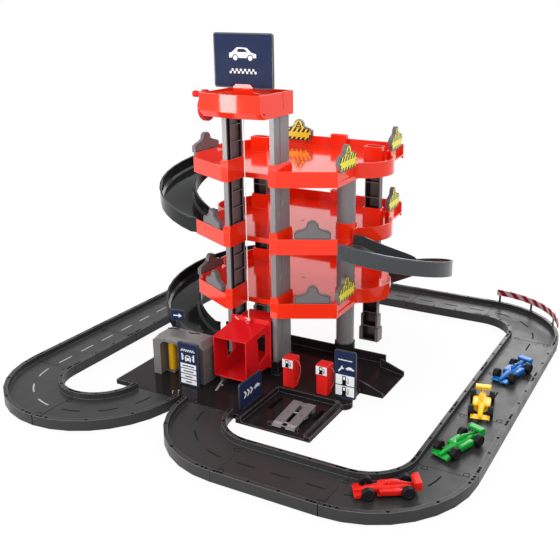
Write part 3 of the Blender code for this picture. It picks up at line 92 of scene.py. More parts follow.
def blendColour(tree, share, first, second):
    node = tree.nodes.new("ShaderNodeMix")
    node.data_type = "RGBA"
    feed(tree, node.inputs[0], share)
    feed(tree, node.inputs[6], first)
    feed(tree, node.inputs[7], second)
    return node.outputs[2]


def mapRange(tree, value, start, end, low=0.0, high=1.0):
    return addNode(tree, "ShaderNodeMapRange", Value=value, From_Min=start, From_Max=end, To_Min=low,
                   To_Max=high).outputs[0]


def noise(tree, **inputs):
    return addNode(tree, "ShaderNodeTexNoise", **inputs).outputs[0]


def objectPlace(tree):
    return addNode(tree, "ShaderNodeTexCoord").outputs["Object"]


def overlay(made, share, colour):       # another colour on a finished material where the share is 1
    tree = made.node_tree
    socket = tree.nodes["Principled BSDF"].inputs["Base Color"]
    feed(tree, socket, blendColour(tree, share, socket.links[0].from_socket, linear(*colour)))
    return made


def softNormal(tree, radius):           # normal as if the edges were rounded by a radius in millimetres
    return addNode(tree, "ShaderNodeBevel", {"samples": 4}, Radius=radius * mm).outputs[0]


# moulded plastic: slow cloudiness of the pigment, fine mould grain, smudges in the gloss, softened edges,
# and, where an edge colour is given, a painted highlight along the edges
def plastic(name, colour, rough=0.25, cloud=0.05, grain=0.12, grainScale=1400, smudge=0.06, soft=0.5,
            gloss=0.5, coat=0.0, ior=1.45, edge=None, edgeHighlightShare=0.6, edgeHighlightWidth=1.4):
    made = bpy.data.materials.new(name)
    made.use_nodes = True
    tree = made.node_tree
    shader = tree.nodes["Principled BSDF"]
    place = objectPlace(tree)
    slow = noise(tree, Vector=place, Scale=11.0, Detail=3.0)
    base = np.array(linear(*colour)[:3])
    dark = (*(base * (1 - cloud)), 1.0)
    pale = (*np.clip(base * (1 + cloud) + 0.002, 0, 1), 1.0)
    for socket, value in (("Specular IOR Level", gloss), ("IOR", ior), ("Coat Weight", coat),
                          ("Coat Roughness", 0.04), ("Coat IOR", 1.37)):
        shader.inputs[socket].default_value = value
    tone = blendColour(tree, slow, dark, pale)
    # painted highlight: the edges get the lighter edge colour where the rounded normal leaves the flat one
    if edge:        # edges catch the light: the rounded normal leaves the flat one there
        lean = addNode(tree, "ShaderNodeVectorMath", {"operation": "DOT_PRODUCT"}).outputs["Value"]
        feed(tree, lean.node.inputs[0], softNormal(tree, edgeHighlightWidth))
        feed(tree, lean.node.inputs[1], addNode(tree, "ShaderNodeNewGeometry").outputs["True Normal"])
        tone = blendColour(tree, mapRange(tree, lean, 0.985, 0.90, 0.0, edgeHighlightShare), tone, linear(*edge))
    feed(tree, shader.inputs["Base Color"], tone)
    smear = noise(tree, Vector=place, Scale=38.0, Detail=4.0, Distortion=0.4)
    spread = mapRange(tree, smear, 0.3, 0.7, max(rough - smudge, 0.02), rough + smudge)
    feed(tree, shader.inputs["Roughness"], spread)
    fine = noise(tree, Vector=place, Scale=grainScale, Detail=2.0)
    bump = addNode(tree, "ShaderNodeBump", Strength=grain, Distance=0.05 * mm, Height=fine)
    if soft:
        feed(tree, bump.inputs["Normal"], softNormal(tree, soft))
    feed(tree, shader.inputs["Normal"], bump.outputs[0])
    return made


pillarGrain = {"rough": 0.26, "smudge": 0.015, "cloud": 0.02, "soft": 0, "grain": 0.08}
# the edge colours below are painted highlights along the edges, not the plastic's own colour
finishes = {
    "red": plastic("redPlastic", (240, 46, 14), rough=0.12, smudge=0.03, cloud=0.03, soft=0.7,
                   gloss=0.3, coat=0.5, ior=1.42, edge=(255, 150, 130), edgeHighlightShare=0.4, edgeHighlightWidth=1.0),
    "cage": plastic("cagePlastic", (216, 24, 30), rough=0.14, smudge=0.03, cloud=0.03, soft=0.7, ior=1.24,
                    edge=(255, 120, 120), edgeHighlightShare=0.4, edgeHighlightWidth=1.0),
    "road": plastic("roadPlastic", (50, 50, 51), rough=0.34, grain=0.5, grainScale=900, cloud=0.04,
                    ior=1.26, edge=(150, 151, 152), edgeHighlightShare=0.7),
    "base": plastic("basePlastic", (34, 30, 32), rough=0.10, smudge=0.03, ior=1.15,
                    edge=(148, 145, 147), edgeHighlightShare=0.75),
    "ramp": plastic("rampPlastic", (24, 26, 27), rough=0.12, smudge=0.04, ior=1.38, edge=(120, 122, 124)),
    "rampGrey": plastic("rampGreyPlastic", (60, 64, 67), rough=0.24, ior=1.38, edge=(140, 142, 144)),
    "pillar": plastic("pillarPlastic", (124, 121, 123), **pillarGrain),
    "clip": plastic("clipPlastic", (112, 106, 108), rough=0.32, ior=1.3, edge=(176, 170, 172),
                    edgeHighlightWidth=1.0),
    "clipLine": plastic("clipLineShade", (52, 48, 50), rough=0.40, gloss=0.0),
    "lift": plastic("liftPlastic", (112, 109, 111), rough=0.34, grain=0.9, grainScale=520,
                    edge=(176, 172, 172), edgeHighlightWidth=1.0),
    "housing": plastic("housingPlastic", (108, 105, 105), rough=0.30, edge=(160, 156, 154)),
    "slot": plastic("slotShade", (16, 14, 15), rough=0.60, gloss=0.0),
    "prong": plastic("prongPlastic", (176, 172, 162), rough=0.25),
    "lip": plastic("liftLipPlastic", (150, 147, 148), rough=0.25),
    "signEdge": plastic("signEdgePlastic", (44, 48, 60), rough=0.35),
    "pump": plastic("pumpPlastic", (224, 34, 30), rough=0.16, smudge=0.03, cloud=0.03, ior=1.3,
                    edge=(255, 140, 120), edgeHighlightShare=0.4, edgeHighlightWidth=1.0),
    "hose": plastic("hoseRubber", (196, 74, 70), rough=0.40),
    "navy": plastic("signNavy", (32, 42, 74), rough=0.34, grain=0.05, ior=1.12),
    "white": plastic("labelWhite", (226, 228, 230), rough=0.40, grain=0.05, cloud=0.02),
    "print": plastic("labelBlack", (20, 20, 22), rough=0.40, grain=0.05, gloss=0.0),
    "seam": plastic("seamShade", (20, 20, 21), rough=0.60, gloss=0.0),
    "dashPale": plastic("dashPale", (176, 177, 170), rough=0.45),
    "dashDark": plastic("dashDark", (40, 40, 41), rough=0.45, gloss=0.0),
    "string": plastic("stringFibre", (232, 230, 222), rough=0.80, grain=0.6, grainScale=2600),
    "tyre": plastic("tyreRubber", (26, 25, 27), rough=0.50, grain=0.4, gloss=0.2),
    "hub": plastic("wheelHub", (40, 39, 42), rough=0.35, gloss=0.3),
}
for colour, levels in (("Red", (228, 34, 26)), ("Green", (6, 156, 50)), ("Yellow", (248, 196, 8)),
                       ("Blue", (6, 104, 186))):
    finishes["car" + colour] = plastic("car" + colour, levels, rough=0.18, coat=0.15, ior=1.3)
print("finishes: %d" % len(finishes))


# corner (r, c) of a grid joins (r, c+1), (r+1, c+1) and (r+1, c); each row closes on itself
def gridFaces(rows, cols):
    r, c = np.meshgrid(np.arange(rows - 1), np.arange(cols), indexing="ij")
    right = (c + 1) % cols
    below, above = r * cols, (r + 1) * cols
    return np.stack([below + c, below + right, above + right, above + c], -1).reshape(-1, 4)


# rings of points, one after another along a body, with a flat cap on both ends
def loft(rings):
    rings = np.asarray(rings, float)
    rows, cols = rings.shape[:2]
    caps = [list(range(cols))[::-1], list(range((rows - 1) * cols, rows * cols))]
    return rings.reshape(-1, 3), gridFaces(rows, cols).tolist() + caps


# profile (place along the axis, radius) turned about a line:
# centre + along * axis + radius * (cos t side + sin t up)
def turned(profile, centre, axis, steps=24):
    profile = np.asarray(profile, float)
    axis = np.asarray(axis, float) / np.linalg.norm(axis)
    side = np.cross(axis, (0, 0, 1) if abs(axis[2]) < 0.9 else (1, 0, 0))
    side /= np.linalg.norm(side)
    up = np.cross(axis, side)
    t = np.linspace(0, 2 * np.pi, steps, endpoint=False)
    spoke = np.cos(t)[:, None] * side + np.sin(t)[:, None] * up
    return loft(np.asarray(centre) + profile[:, 0, None, None] * axis + profile[:, 1, None, None] * spoke)


# flat outline (a, b) lifted off a face: origin + a * right + b * up + height * (right x up), small chamfer
def plate(outline, origin, right, up, low, high, edge=0.0):
    outline = np.asarray(outline, float)
    right, up = np.asarray(right, float), np.asarray(up, float)
    out = np.cross(right, up)
    inner = insetOutline(outline, edge) if edge else outline
    rings = []
    for shape, height in ((outline, low), (outline, high - edge), (inner, high)):
        rings.append(np.asarray(origin) + shape[:, :1] * right + shape[:, 1:] * up + height * out)
    return loft(rings if edge else rings[::2])


def slab(outline, origin, right, up, low, high, edge=0.0):      # plate with its own sizes in millimetres
    return plate(np.asarray(outline, float) * mm, origin, right, up, low * mm, high * mm, edge * mm)


# each corner moves along the mean of its two sides' normals, stretched so that the sides move by the distance
def insetOutline(outline, distance):
    after = np.roll(outline, -1, 0) - outline
    after /= np.linalg.norm(after, axis=1)[:, None]
    normal = np.stack([-after[:, 1], after[:, 0]], 1)
    before = np.roll(normal, 1, 0)
    return outline + distance * (before + normal) / (1 + (before * normal).sum(1))[:, None]


# bar of four-cornered section that follows a line on a face; width and heights in millimetres
def bar(path, width, low, high, out=zAxis):
    path = np.asarray(path, float)
    out = np.asarray(out, float)
    along = np.gradient(path, axis=0)
    side = np.cross(np.broadcast_to(out, along.shape), along)
    half = side / np.linalg.norm(side, axis=1)[:, None] * width / 2 * mm
    low, high = out * low * mm, out * high * mm
    return loft(np.stack([path - half + low, path + half + low, path + half + high, path - half + high], 1))


# spot or pin: a short round post on a face, its sizes in millimetres
def post(centre, radius, low, high, axis=zAxis, steps=12):
    return turned([(low * mm, radius * mm), (high * mm, radius * mm)], centre, axis, steps)


# path from a place: each offset in millimetres is a number or a row of numbers
def pathFrom(place, x, y, z):
    return np.asarray(place) + np.stack(np.broadcast_arrays(x, y, z), -1) * mm


# round tube along a free path: a frame carried from point to point, radius may change along it
def tube(path, radius, sides=10):
    path = np.asarray(path, float)
    along = np.gradient(path, axis=0)
    along /= np.linalg.norm(along, axis=1)[:, None]
    seed = np.array((0, 0, 1.0)) if abs(along[0][2]) < 0.9 else np.array((1.0, 0, 0))
    carried = []
    for step in along:
        seed = seed - step * np.dot(seed, step)
        seed = seed / np.linalg.norm(seed)
        carried.append(seed)
    first = np.array(carried)
    second = np.cross(along, first)
    t = np.linspace(0, 2 * np.pi, sides, endpoint=False)
    radius = np.broadcast_to(radius, len(path))
    rings = path[:, None] + radius[:, None, None] * (np.cos(t)[None, :, None] * first[:, None]
                                                     + np.sin(t)[None, :, None] * second[:, None])
    return loft(rings)


def roundedBox(width, height, radius, steps=4):     # anticlockwise, about its own middle
    t = np.linspace(0, np.pi / 2, steps + 1)
    corners = []
    for k, (sx, sy) in enumerate(((1, -1), (1, 1), (-1, 1), (-1, -1))):
        turn = t + (k - 1) * np.pi / 2
        corners.append(np.stack([sx * (width / 2 - radius) + radius * np.cos(turn),
                                 sy * (height / 2 - radius) + radius * np.sin(turn)], 1))
    return np.concatenate(corners)


def ringPoints(centre, radius, start=0.0, end=360.0, steps=24, whole=True):
    t = np.radians(np.linspace(start, end, steps, endpoint=not whole))
    return np.stack([centre[0] + radius * np.cos(t), centre[1] + radius * np.sin(t)], 1)


# one object from several shells; its faces are turned outwards, and it rides on a body
def makePiece(name, shells, finish, body="garage", slot=None, replaces=(), smoothDeg=35, soften=None):
    points, faces, count = [], [], 0
    for shellPoints, shellFaces in shells:
        points.append(shellPoints)
        faces += [[corner + count for corner in face] for face in shellFaces]
        count += len(shellPoints)
    mesh = bpy.data.meshes.new(name)
    mesh.from_pydata(np.concatenate(points).tolist(), [], faces)
    work = bmesh.new()
    work.from_mesh(mesh)
    bmesh.ops.recalc_face_normals(work, faces=work.faces)
    work.to_mesh(mesh)
    work.free()
    mesh.materials.append(finishes[finish])
    mesh.shade_smooth()
    mesh.set_sharp_from_angle(angle=math.radians(smoothDeg))
    made = bpy.data.objects.new(name, mesh)
    bpy.context.scene.collection.objects.link(made)
    if soften:
        chamfer = made.modifiers.new("edges", "BEVEL")
        chamfer.width = soften * mm
        chamfer.segments = 2
        chamfer.limit_method = "ANGLE"
        chamfer.angle_limit = math.radians(40)
        chamfer.use_clamp_overlap = True
    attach(made, body)
    if replaces:
        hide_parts(*replaces)
    return made


def dress(finish, *names):
    for name in names:
        nodes[name].data.materials.clear()
        nodes[name].data.materials.append(finishes[finish])


def meshPoints(name):
    return np.array([v.co for v in nodes[name].data.vertices])


# the CAD nodes' loose triangles are merged, shaded smoothly and split again at the real edges
def smoothNodes(angle):
    for node in nodes.values():
        mesh = node.data
        for name in ("custom_normal", "sharp_edge"):
            if name in mesh.attributes:
                mesh.attributes.remove(mesh.attributes[name])
        mesh.shade_smooth()
        merge = node.modifiers.new("merge", "WELD")
        merge.merge_threshold = 0.00001
        split = node.modifiers.new("split", "EDGE_SPLIT")
        split.split_angle = math.radians(angle)


smoothNodes(24)


# road: markings, seams with their hooks, and the holes along the walls, drawn as dark discs of painted shade
road = {"wall": 21.0, "wallWidth": 8.0, "slope": 1.5, "floor": 10.0, "width": 113.5, "inner": 81.5,
        "tile": 200.0, "dashLength": 37.0, "dashWidth": 3.0, "dashes": 3, "seamWidth": 1.1, "hookRadius": 5.0,
        "hookNeck": 2.2, "hookReach": 6.5, "hookPlace": 0.20, "holeRadius": 2.9,
        "holePlaces": (0.10, 0.36, 0.64, 0.90), "holeGaps": (7.0, 13.0)}


# straight tile: start + s * length * heading + w * left of the heading
def straightTile(start, headingDeg):
    turn = math.radians(headingDeg)
    along = np.array((math.cos(turn), math.sin(turn), 0))
    left = np.array((-along[1], along[0], 0))

    def place(s, w, z):
        s, w, z = np.broadcast_arrays(s, w, z)
        return (np.array((*start, 0)) + s[..., None] * road["tile"] * mm * along
                + w[..., None] * mm * left + z[..., None] * np.array((0, 0, mm)))
    return place


# bend tile: centre + (inner radius + w) * (cos, sin) of the turn that s gives
def bendTile(centre, startDeg):
    def place(s, w, z):
        s, w, z = np.broadcast_arrays(s, w, z)
        turn = np.radians(startDeg + 90 * s)
        reach = (road["inner"] + w) * mm
        return np.stack([centre[0] + reach * np.cos(turn), centre[1] + reach * np.sin(turn), z * mm], -1)
    return place


# each tile: its place function, the shade of its dashes and its length along the middle
side, outer, step = 0.3, 0.495, road["tile"] * mm
tiles = []
for n in range(3):
    tiles.append((straightTile((-outer, side - step * n), 270), "pale", road["tile"]))
    tiles.append((straightTile((side - step * n, outer), 180), "dark", road["tile"]))
    tiles.append((straightTile((outer, -side + step * n), 90), "dark", road["tile"]))
tiles.append((straightTile((0.1, -outer), 0), "dark", road["tile"]))
bendLength = math.pi / 2 * (road["inner"] + road["width"] / 2)
for centre, start, shade in (((0.1, -side), 180, "dark"), ((side, -side), 270, "dark"),
                             ((side, side), 0, "dark"), ((-side, side), 90, "pale"),
                             ((-side, -side), 180, "pale"), ((-side, -side), 270, "dark")):
    tiles.append((bendTile(centre, start), shade, bendLength))


# the wall-to-wall section of a tile as (across, height), lifted a little off the plastic
def sectionLine(lift):
    top, wide, floor = (road[key] + lift for key in ("wall", "wallWidth", "floor"))
    half = [(-lift, 0.4), (-lift, top), (wide, top), (wide + road["slope"], floor)]
    return np.array(half + [(road["width"] - a, b) for a, b in reversed(half)])


# seam hook: a neck that opens into a round, both in the plane of the road
def hookLine(middle, way):
    reach, neck, radius = road["hookReach"], road["hookNeck"], road["hookRadius"]
    opening = math.degrees(math.asin(neck / radius))
    loop = ringPoints((0, reach), radius, -90 + opening, 270 - opening, 18, whole=False)
    return np.stack([middle + loop[:, 0], way * loop[:, 1]], 1)


def makeRoad():
    pale, dark, seams, holes = [], [], [], []
    for place, shade, length in tiles + [(bendTile((-side, -side), 360), None, bendLength)]:
        half, seam = road["dashLength"] / 2 / length, road["seamWidth"] / 2 / length
        for n in range(road["dashes"] if shade else 0):
            s = (n + 0.5) / road["dashes"] + np.linspace(-half, half, 9)
            line = place(s, road["width"] / 2, road["floor"])
            (pale if shade == "pale" else dark).append(bar(line, road["dashWidth"], -0.3, 0.3))
        section = sectionLine(0.12)
        ends = [place(s, section[:, 0], section[:, 1] - sink)
                for s, sink in ((-seam, 0), (seam, 0), (seam, 0.4), (-seam, 0.4))]
        seams.append(loft(np.stack(ends, 1)))
        for share, way in ((road["hookPlace"], 1), (1 - road["hookPlace"], -1)):
            loop = hookLine(road["width"] * share, way)
            line = place(loop[:, 1] / length, loop[:, 0], road["floor"])
            seams.append(bar(line, road["seamWidth"], -0.3, 0.15))
        nearEnds = [s for gap in road["holeGaps"] for s in (gap / length, 1 - gap / length)]
        # the wall holes are flat dark discs: painted shade in place of real holes
        for w in (road["wallWidth"] / 2, road["width"] - road["wallWidth"] / 2) if shade else ():
            for s in (*road["holePlaces"], *nearEnds):
                holes.append(post(place(s, w, road["wall"]), road["holeRadius"], -0.3, 0.10, steps=10))
    for name, shells, finish in (("laneDashesPale", pale, "dashPale"), ("laneDashesDark", dark, "dashDark"),
                                 ("tileSeams", seams, "seam"), ("wallHoles", holes, "seam")):
        makePiece(name, shells, finish, slot="road_plastic")
    dress("road", *[n for n in nodes if n.startswith("track_")])
    print("road: %d tiles" % len(tiles))


makeRoad()


# slanted stripes: (arc length + lean * height) / pitch, in metres, gives the place in a pair of stripes
def stripeFinish(name, first, second, centre, radius, pitch, lean):
    made = plastic(name, first, rough=0.35)
    tree = made.node_tree
    parts = addNode(tree, "ShaderNodeSeparateXYZ", Vector=objectPlace(tree)).outputs
    turn = calc(tree, "ARCTAN2", calc(tree, "SUBTRACT", parts[1], centre[1]),
                calc(tree, "SUBTRACT", parts[0], centre[0]))
    run = calc(tree, "ADD", calc(tree, "MULTIPLY", turn, radius), calc(tree, "MULTIPLY", parts[2], lean))
    cell = calc(tree, "FRACT", calc(tree, "DIVIDE", run, pitch))
    return overlay(made, mapRange(tree, calc(tree, "PINGPONG", cell, 0.5), 0.235, 0.265), second)


# painted shade: a pillar's hollow gets a dark colour inside a box, low to high corner, with a short soft
# border
def hollowShadeFinish(name, outside, inside, low, high):
    made = plastic(name, outside, **pillarGrain)
    tree = made.node_tree
    parts = addNode(tree, "ShaderNodeSeparateXYZ", Vector=objectPlace(tree)).outputs
    shares = []
    for axis in (0, 1):
        depth = calc(tree, "MINIMUM", calc(tree, "SUBTRACT", parts[axis], low[axis]),
                     calc(tree, "SUBTRACT", high[axis], parts[axis]))
        shares.append(mapRange(tree, depth, 0.0, 0.3 * mm))
    return overlay(made, calc(tree, "MULTIPLY", *shares), inside)


# barrier rail: a longer board than the plain solid, on three posts along the outer wall
rail = {"centre": (300.0, 300.0), "radius": 191.0, "thick": 2.6, "from": 13.0, "to": 88.8, "low": 38.0,
        "high": 53.0, "posts": (30.0, 59.5, 86.5), "post": 5.0, "wall": 21.2, "pitch": 33.0, "lean": -1.1}


def makeRail():
    def ring(turn, radius, z):
        return np.stack([(rail["centre"][0] + radius * np.cos(turn)) * mm,
                         (rail["centre"][1] + radius * np.sin(turn)) * mm, np.full(len(turn), z * mm)], 1)
    turn = np.radians(np.linspace(rail["from"], rail["to"], 40))
    inner, outer = rail["radius"] - rail["thick"] / 2, rail["radius"] + rail["thick"] / 2
    corners = [(outer, rail["low"]), (outer, rail["high"]), (inner, rail["high"]), (inner, rail["low"])]
    board = loft(np.stack([ring(turn, r, z) for r, z in corners], 1))
    made = makePiece("railBoard", [board], "rail", slot="clip_plastic")
    posts = []
    for place in rail["posts"]:
        half = math.degrees(rail["post"] / 2 / rail["radius"])
        turn = np.radians(np.array([place - half, place + half]))
        low, high = rail["wall"], rail["low"] + 1.0
        posts.append(loft([np.concatenate([ring(turn, inner + 0.3, z), ring(turn[::-1], outer - 0.3, z)])
                           for z in (low, high)]))
    makePiece("railPosts", posts, "base", slot="clip_plastic")
    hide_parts("barrier_rail")
    print("rail done")


finishes["rail"] = stripeFinish("railStripes", (150, 14, 36), (208, 178, 182), np.array(rail["centre"]) * mm,
                                rail["radius"] * mm, rail["pitch"] * mm, rail["lean"])
makeRail()

# decks, pillars, ramps, base
dress("red", "deck_1", "deck_2", "deck_3", "lift_head")
dress("cage", "lift_cage", "winch_crank")
# hollows of the pillars, where their painted shade goes, in millimetres: the two channels' walls, left then
# right, and the back bays' reach
hollow = {"lift_pillar_left": (1.9, 2.4), "lift_pillar_right": (2.4, 1.9), "wallY": 1.6,
          "bay": (16.4, 6.4, 5.4)}
for name in ("lift_pillar_left", "lift_pillar_right"):
    low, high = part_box(name)
    left, right = hollow[name]
    finishes[name] = hollowShadeFinish(name + "Plastic", (128, 126, 128), (30, 25, 26),
                                  (low.x + left * mm, low.y + hollow["wallY"] * mm),
                                  (high.x - right * mm, high.y - hollow["wallY"] * mm))
    dress(name, name)
for name in ("pillar_back_left", "pillar_back_right"):
    low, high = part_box(name)
    x, y = (low.x + high.x) / 2, (low.y + high.y) / 2
    reach, front, back = (value * mm for value in hollow["bay"])
    finishes[name] = hollowShadeFinish(name + "Plastic", (104, 92, 94), (34, 22, 23), (x - reach, y - front),
                                  (x + reach, y + back))
    dress(name, name)
dress("pillar", "pillar_front_right")
dress("ramp", "ramp_upper", "ramp_lower")
dress("rampGrey", "ramp_middle")
dress("base", "base_plate")
dress("housing", "car_wash_housing")
dress("lift", "service_lift")
dress("signEdge", "top_sign", "wash_sign", "fuel_sign", "parking_sign")


# boards: a face on both sides, and pictograms of plain shapes in millimetres
def boardFace(name, origin, right, width, height, pictures=(), radius=3.0, lift=0.5):
    outline = roundedBox(width, height, radius)
    face = slab(outline, origin, right, zAxis, -0.2, lift, 0.3)
    makePiece(name + "_face", [face], "navy", slot="sign_plastic")
    for finish, high, shapes in pictures:
        shells = [slab(shape, origin, right, zAxis, lift - 0.2, lift + high) for shape in shapes]
        makePiece("%s_%s" % (name, finish), shells, finish, slot="sign_plastic")


def box2(x0, x1, y0, y1):
    return np.array([(x0, y0), (x1, y0), (x1, y1), (x0, y1)], float)


# car seen from the side, nose to the right: a low body with a cabin arc and two wheels in round cuts
def carPicture(cx, cy, size):
    cuts = [ringPoints((x, -0.22), 0.22, 180, 0, 8, whole=False)[1:-1].tolist() for x in (-0.55, 0.55)]
    body = [(-1.0, -0.22), (-0.78, -0.22), *cuts[0], (-0.33, -0.22), (0.30, -0.22), *cuts[1],
            (0.77, -0.22), (1.0, -0.20), (0.98, 0.02), (0.62, 0.12), (0.30, 0.40), (-0.42, 0.42),
            (-0.80, 0.12), (-1.0, 0.06)]
    wheels = [ringPoints((cx + x * size, cy - 0.22 * size), 0.16 * size, steps=16) for x in (-0.55, 0.55)]
    return [np.array(body) * size + (cx, cy)] + wheels


# chequered strip: every second cell of a small board
def chequers(cx, cy, cell, cols, rows):
    corners = [(cx + (c - cols / 2) * cell, cy + (r - rows / 2) * cell)
               for c in range(cols) for r in range(rows) if (c + r) % 2 == 0]
    return [box2(x, x + cell * 0.98, y, y + cell * 0.98) for x, y in corners]


# fuel pump: sides, foot and top of a cabinet with a window, and a hose on its right
def pumpPicture(cx, cy, size):
    parts = ((-0.5, 0.28, -0.8, 0.12), (-0.5, -0.34, 0.12, 0.72), (0.12, 0.28, 0.12, 0.72),
             (-0.5, 0.28, 0.72, 0.88), (-0.62, 0.40, -0.95, -0.8))
    cabinet = [box2(*part) * size + (cx, cy) for part in parts]
    hose = np.array([(0.28, -0.1), (0.46, -0.12), (0.52, -0.45), (0.66, -0.52), (0.74, -0.40), (0.74, 0.30),
                     (0.56, 0.62)]) * size + (cx, cy)
    return cabinet, hose


def hoseLine(hose, origin, width, low, high):       # the picture's hose, laid on an upright face
    path = np.asarray(origin) + np.stack([hose[:, 0], np.zeros(len(hose)), hose[:, 1]], 1) * mm
    return bar(path, width, low, high, (0, -1, 0))


boards = {"topFoot": 0.598, "washY": -0.2435, "washFoot": 0.0106, "washWidth": 50.0, "washHeight": 93.0,
          "panel": 9.6, "panelPitch": 11.6, "fuelY": -0.152, "fuelMiddle": 0.0643, "laneX": 0.026,
          "laneMiddle": 0.0388}


def makeBoards():
    low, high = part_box("top_sign")
    foot = boards["topFoot"]
    size = (high.x - low.x) / mm - 5, (high.z - foot) / mm - 5
    middle = np.array(((low.x + high.x) / 2, low.y, (foot + high.z) / 2))
    window = [(-12.5, 16.0), (6.0, 16.0), (10.5, 16.0), (3.5, 22.0), (-9.5, 22.0)]
    pictures = carPicture(0, 12, 30) + chequers(0, -19, 4.6, 13, 2)
    boardFace("topSign", middle, xAxis, *size, [("white", 0.35, pictures), ("navy", 0.5, [window])])
    boardFace("topSignRear", (middle[0], high.y, middle[2]), (-1, 0, 0), *size)

    low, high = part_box("wash_sign")
    width, height = boards["washWidth"], boards["washHeight"]
    middle = np.array(((low.x + high.x) / 2, boards["washY"], boards["washFoot"] + height / 2 * mm))
    body = slab(roundedBox(width, height, 2.5), middle, xAxis, zAxis, -4.0, 0, 0.4)
    back = slab(box2(-17, 17, -height / 2, -height / 2 + 10), middle, xAxis, zAxis, -7.4, -3.8)
    makePiece("washBoard", [body, back], "signEdge", slot="sign_plastic", replaces=["wash_sign"])
    brush = [box2(x - 1.4, x + 1.4, 8, 23) for x in (-14, 14)] + chequers(0, 30.5, 2.6, 13, 2)
    brush += [box2(x, x + 2.6, y, y + 1.5) for x in (-12.6, 10.0) for y in (10, 14, 18)]
    front = [[(-7, 8.5), (7, 8.5), (7.4, 14), (4.6, 20), (-4.6, 20), (-7.4, 14)],
             box2(-6.6, -3.6, 6.5, 8.8), box2(3.6, 6.6, 6.5, 8.8)]
    glass = [[(-4.6, 15), (4.6, 15), (3.2, 18.4), (-3.2, 18.4)], box2(-5.4, -3.2, 10.8, 12.6),
             box2(3.2, 5.4, 10.8, 12.6)]
    rows = [-43 + boards["panelPitch"] * n for n in range(4)]
    panels = [box2(-19, 19, y, y + boards["panel"]) for y in rows]
    marks = [box2(-half, half, y + 3.6, y + 6.0) for y, half in zip(rows, (7, 9, 12, 14))]
    boardFace("washSign", middle, xAxis, width - 4, height - 4,
              [("white", 0.3, brush + front + panels), ("navy", 0.5, glass + marks)], radius=2.0)
    boardFace("washSignRear", middle + (0, 0.004, 0), (-1, 0, 0), width - 4, height - 24, radius=2.0)

    low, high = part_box("fuel_sign")
    width = (high.x - low.x) / mm - 3
    middle = np.array(((low.x + high.x) / 2, boards["fuelY"], boards["fuelMiddle"]))
    spanner = [(-15, 7), (-13, 5), (-6.5, 12), (-3.5, 11.5), (-2, 14), (-4.5, 14.2), (-6, 16), (-4.6, 18.4),
               (-7.6, 18), (-8.8, 14.2)]
    labels = [box2(-20, 20, -45, -24), box2(-20, 20, -22, -1), *carPicture(10.5, 14, 9.0), spanner,
              box2(-15, 15, 30, 31.6)]
    pumps = [pumpPicture(-0.5, cy, 10.5) for cy in (-35.1, -12.1)]
    boardFace("fuelSign", middle, xAxis, width, 96,
              [("white", 0.3, labels), ("print", 0.5, pumps[0][0] + pumps[1][0])])
    lines = [hoseLine(hose, middle, 1.1, 0.7, 1.0) for cabinet, hose in pumps]
    makePiece("fuelSign_hoses", lines, "print", slot="sign_plastic")
    boardFace("fuelSignRear", middle + (0, 0.004, 0), (-1, 0, 0), width, 96)

    low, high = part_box("parking_sign")
    depth = (high.y - low.y) / mm - 3
    middle = np.array((boards["laneX"], (low.y + high.y) / 2, boards["laneMiddle"]))
    chevrons = [[(x, -7), (x + 5, -7), (x + 11, 0), (x + 5, 7), (x, 7), (x + 6, 0)] for x in (-27, -16, -5)]
    boardFace("laneSign", middle, yAxis, depth, 50, [("white", 0.3, chevrons + carPicture(21, 0, 11))])
    boardFace("laneSignRear", middle - (0.004, 0, 0), (0, -1, 0), depth, 50)
    print("boards done")


makeBoards()


# clip-on boards: a raised face inside the frame, ringed by a dark line of painted groove shade; the hazard
# face carries stripes and a warning triangle
clipShape = {"height": 38.0, "dome": 12.5, "grip": 13.0, "inset": 5.0, "border": 1.3, "line": 1.1}


# low shoulders and a round middle; the picture side goes on down over the rim, a little narrower
def hatOutline(half, leaf, inset):
    top, dome, foot = clipShape["height"], clipShape["dome"], half - clipShape["inset"]
    shoulder = [(half, 0), (half, 0.34 * top), (0.84 * half, 0.44 * top), (0.5 * half, 0.54 * top)]
    arch = ringPoints((0, top - dome), dome, -5, 185, 14, whole=False)
    down = [(foot, -clipShape["grip"]), (foot, 0)] if leaf else []
    right = down + shoulder
    outline = [*right, *arch.tolist(), *[(-a, b) for a, b in reversed(right)]]
    return insetOutline(np.array(outline, float), inset)


# black bars on yellow: u runs along the board and v up it, in millimetres, from the face's own UV map.
# Bars: the wave of (u - 0.7 v) in two bands of v. Triangle: |u| * 1.75 + v between two values.
def hazardFinish():
    made = plastic("hazardFace", (232, 222, 52), rough=0.38, grain=0.05)
    tree = made.node_tree
    uv = addNode(tree, "ShaderNodeUVMap", {"uv_map": "face"}).outputs[0]
    u, v = addNode(tree, "ShaderNodeSeparateXYZ", Vector=uv).outputs[:2]

    def times(one, two):
        return calc(tree, "MULTIPLY", one, two)

    def plus(one, two):
        return calc(tree, "ADD", one, two)

    def between(value, low, high):
        return times(calc(tree, "GREATER_THAN", value, low), calc(tree, "LESS_THAN", value, high))
    slant = calc(tree, "SUBTRACT", u, times(v, 0.7))
    wave = calc(tree, "PINGPONG", calc(tree, "DIVIDE", slant, 12.5), 0.5)
    bars = times(calc(tree, "GREATER_THAN", wave, 0.23), plus(between(v, 7.0, 17.5), between(v, -11.5, -5.0)))
    triangle = plus(times(calc(tree, "ABSOLUTE", u), 1.75), v)
    outline = calc(tree, "SUBTRACT", between(triangle, 0, 35.0), between(triangle, 0, 29.0))
    sides = times(outline, between(v, 19.0, 35.5))
    foot = times(between(v, 18.3, 21.3), between(triangle, 0, 35.0))
    mark = times(between(u, -1.3, 1.3), between(v, 22.5, 27.5))
    return overlay(made, calc(tree, "MINIMUM", plus(plus(bars, plus(sides, foot)), mark), 1.0), (28, 28, 28))


finishes["hazard"] = hazardFinish()


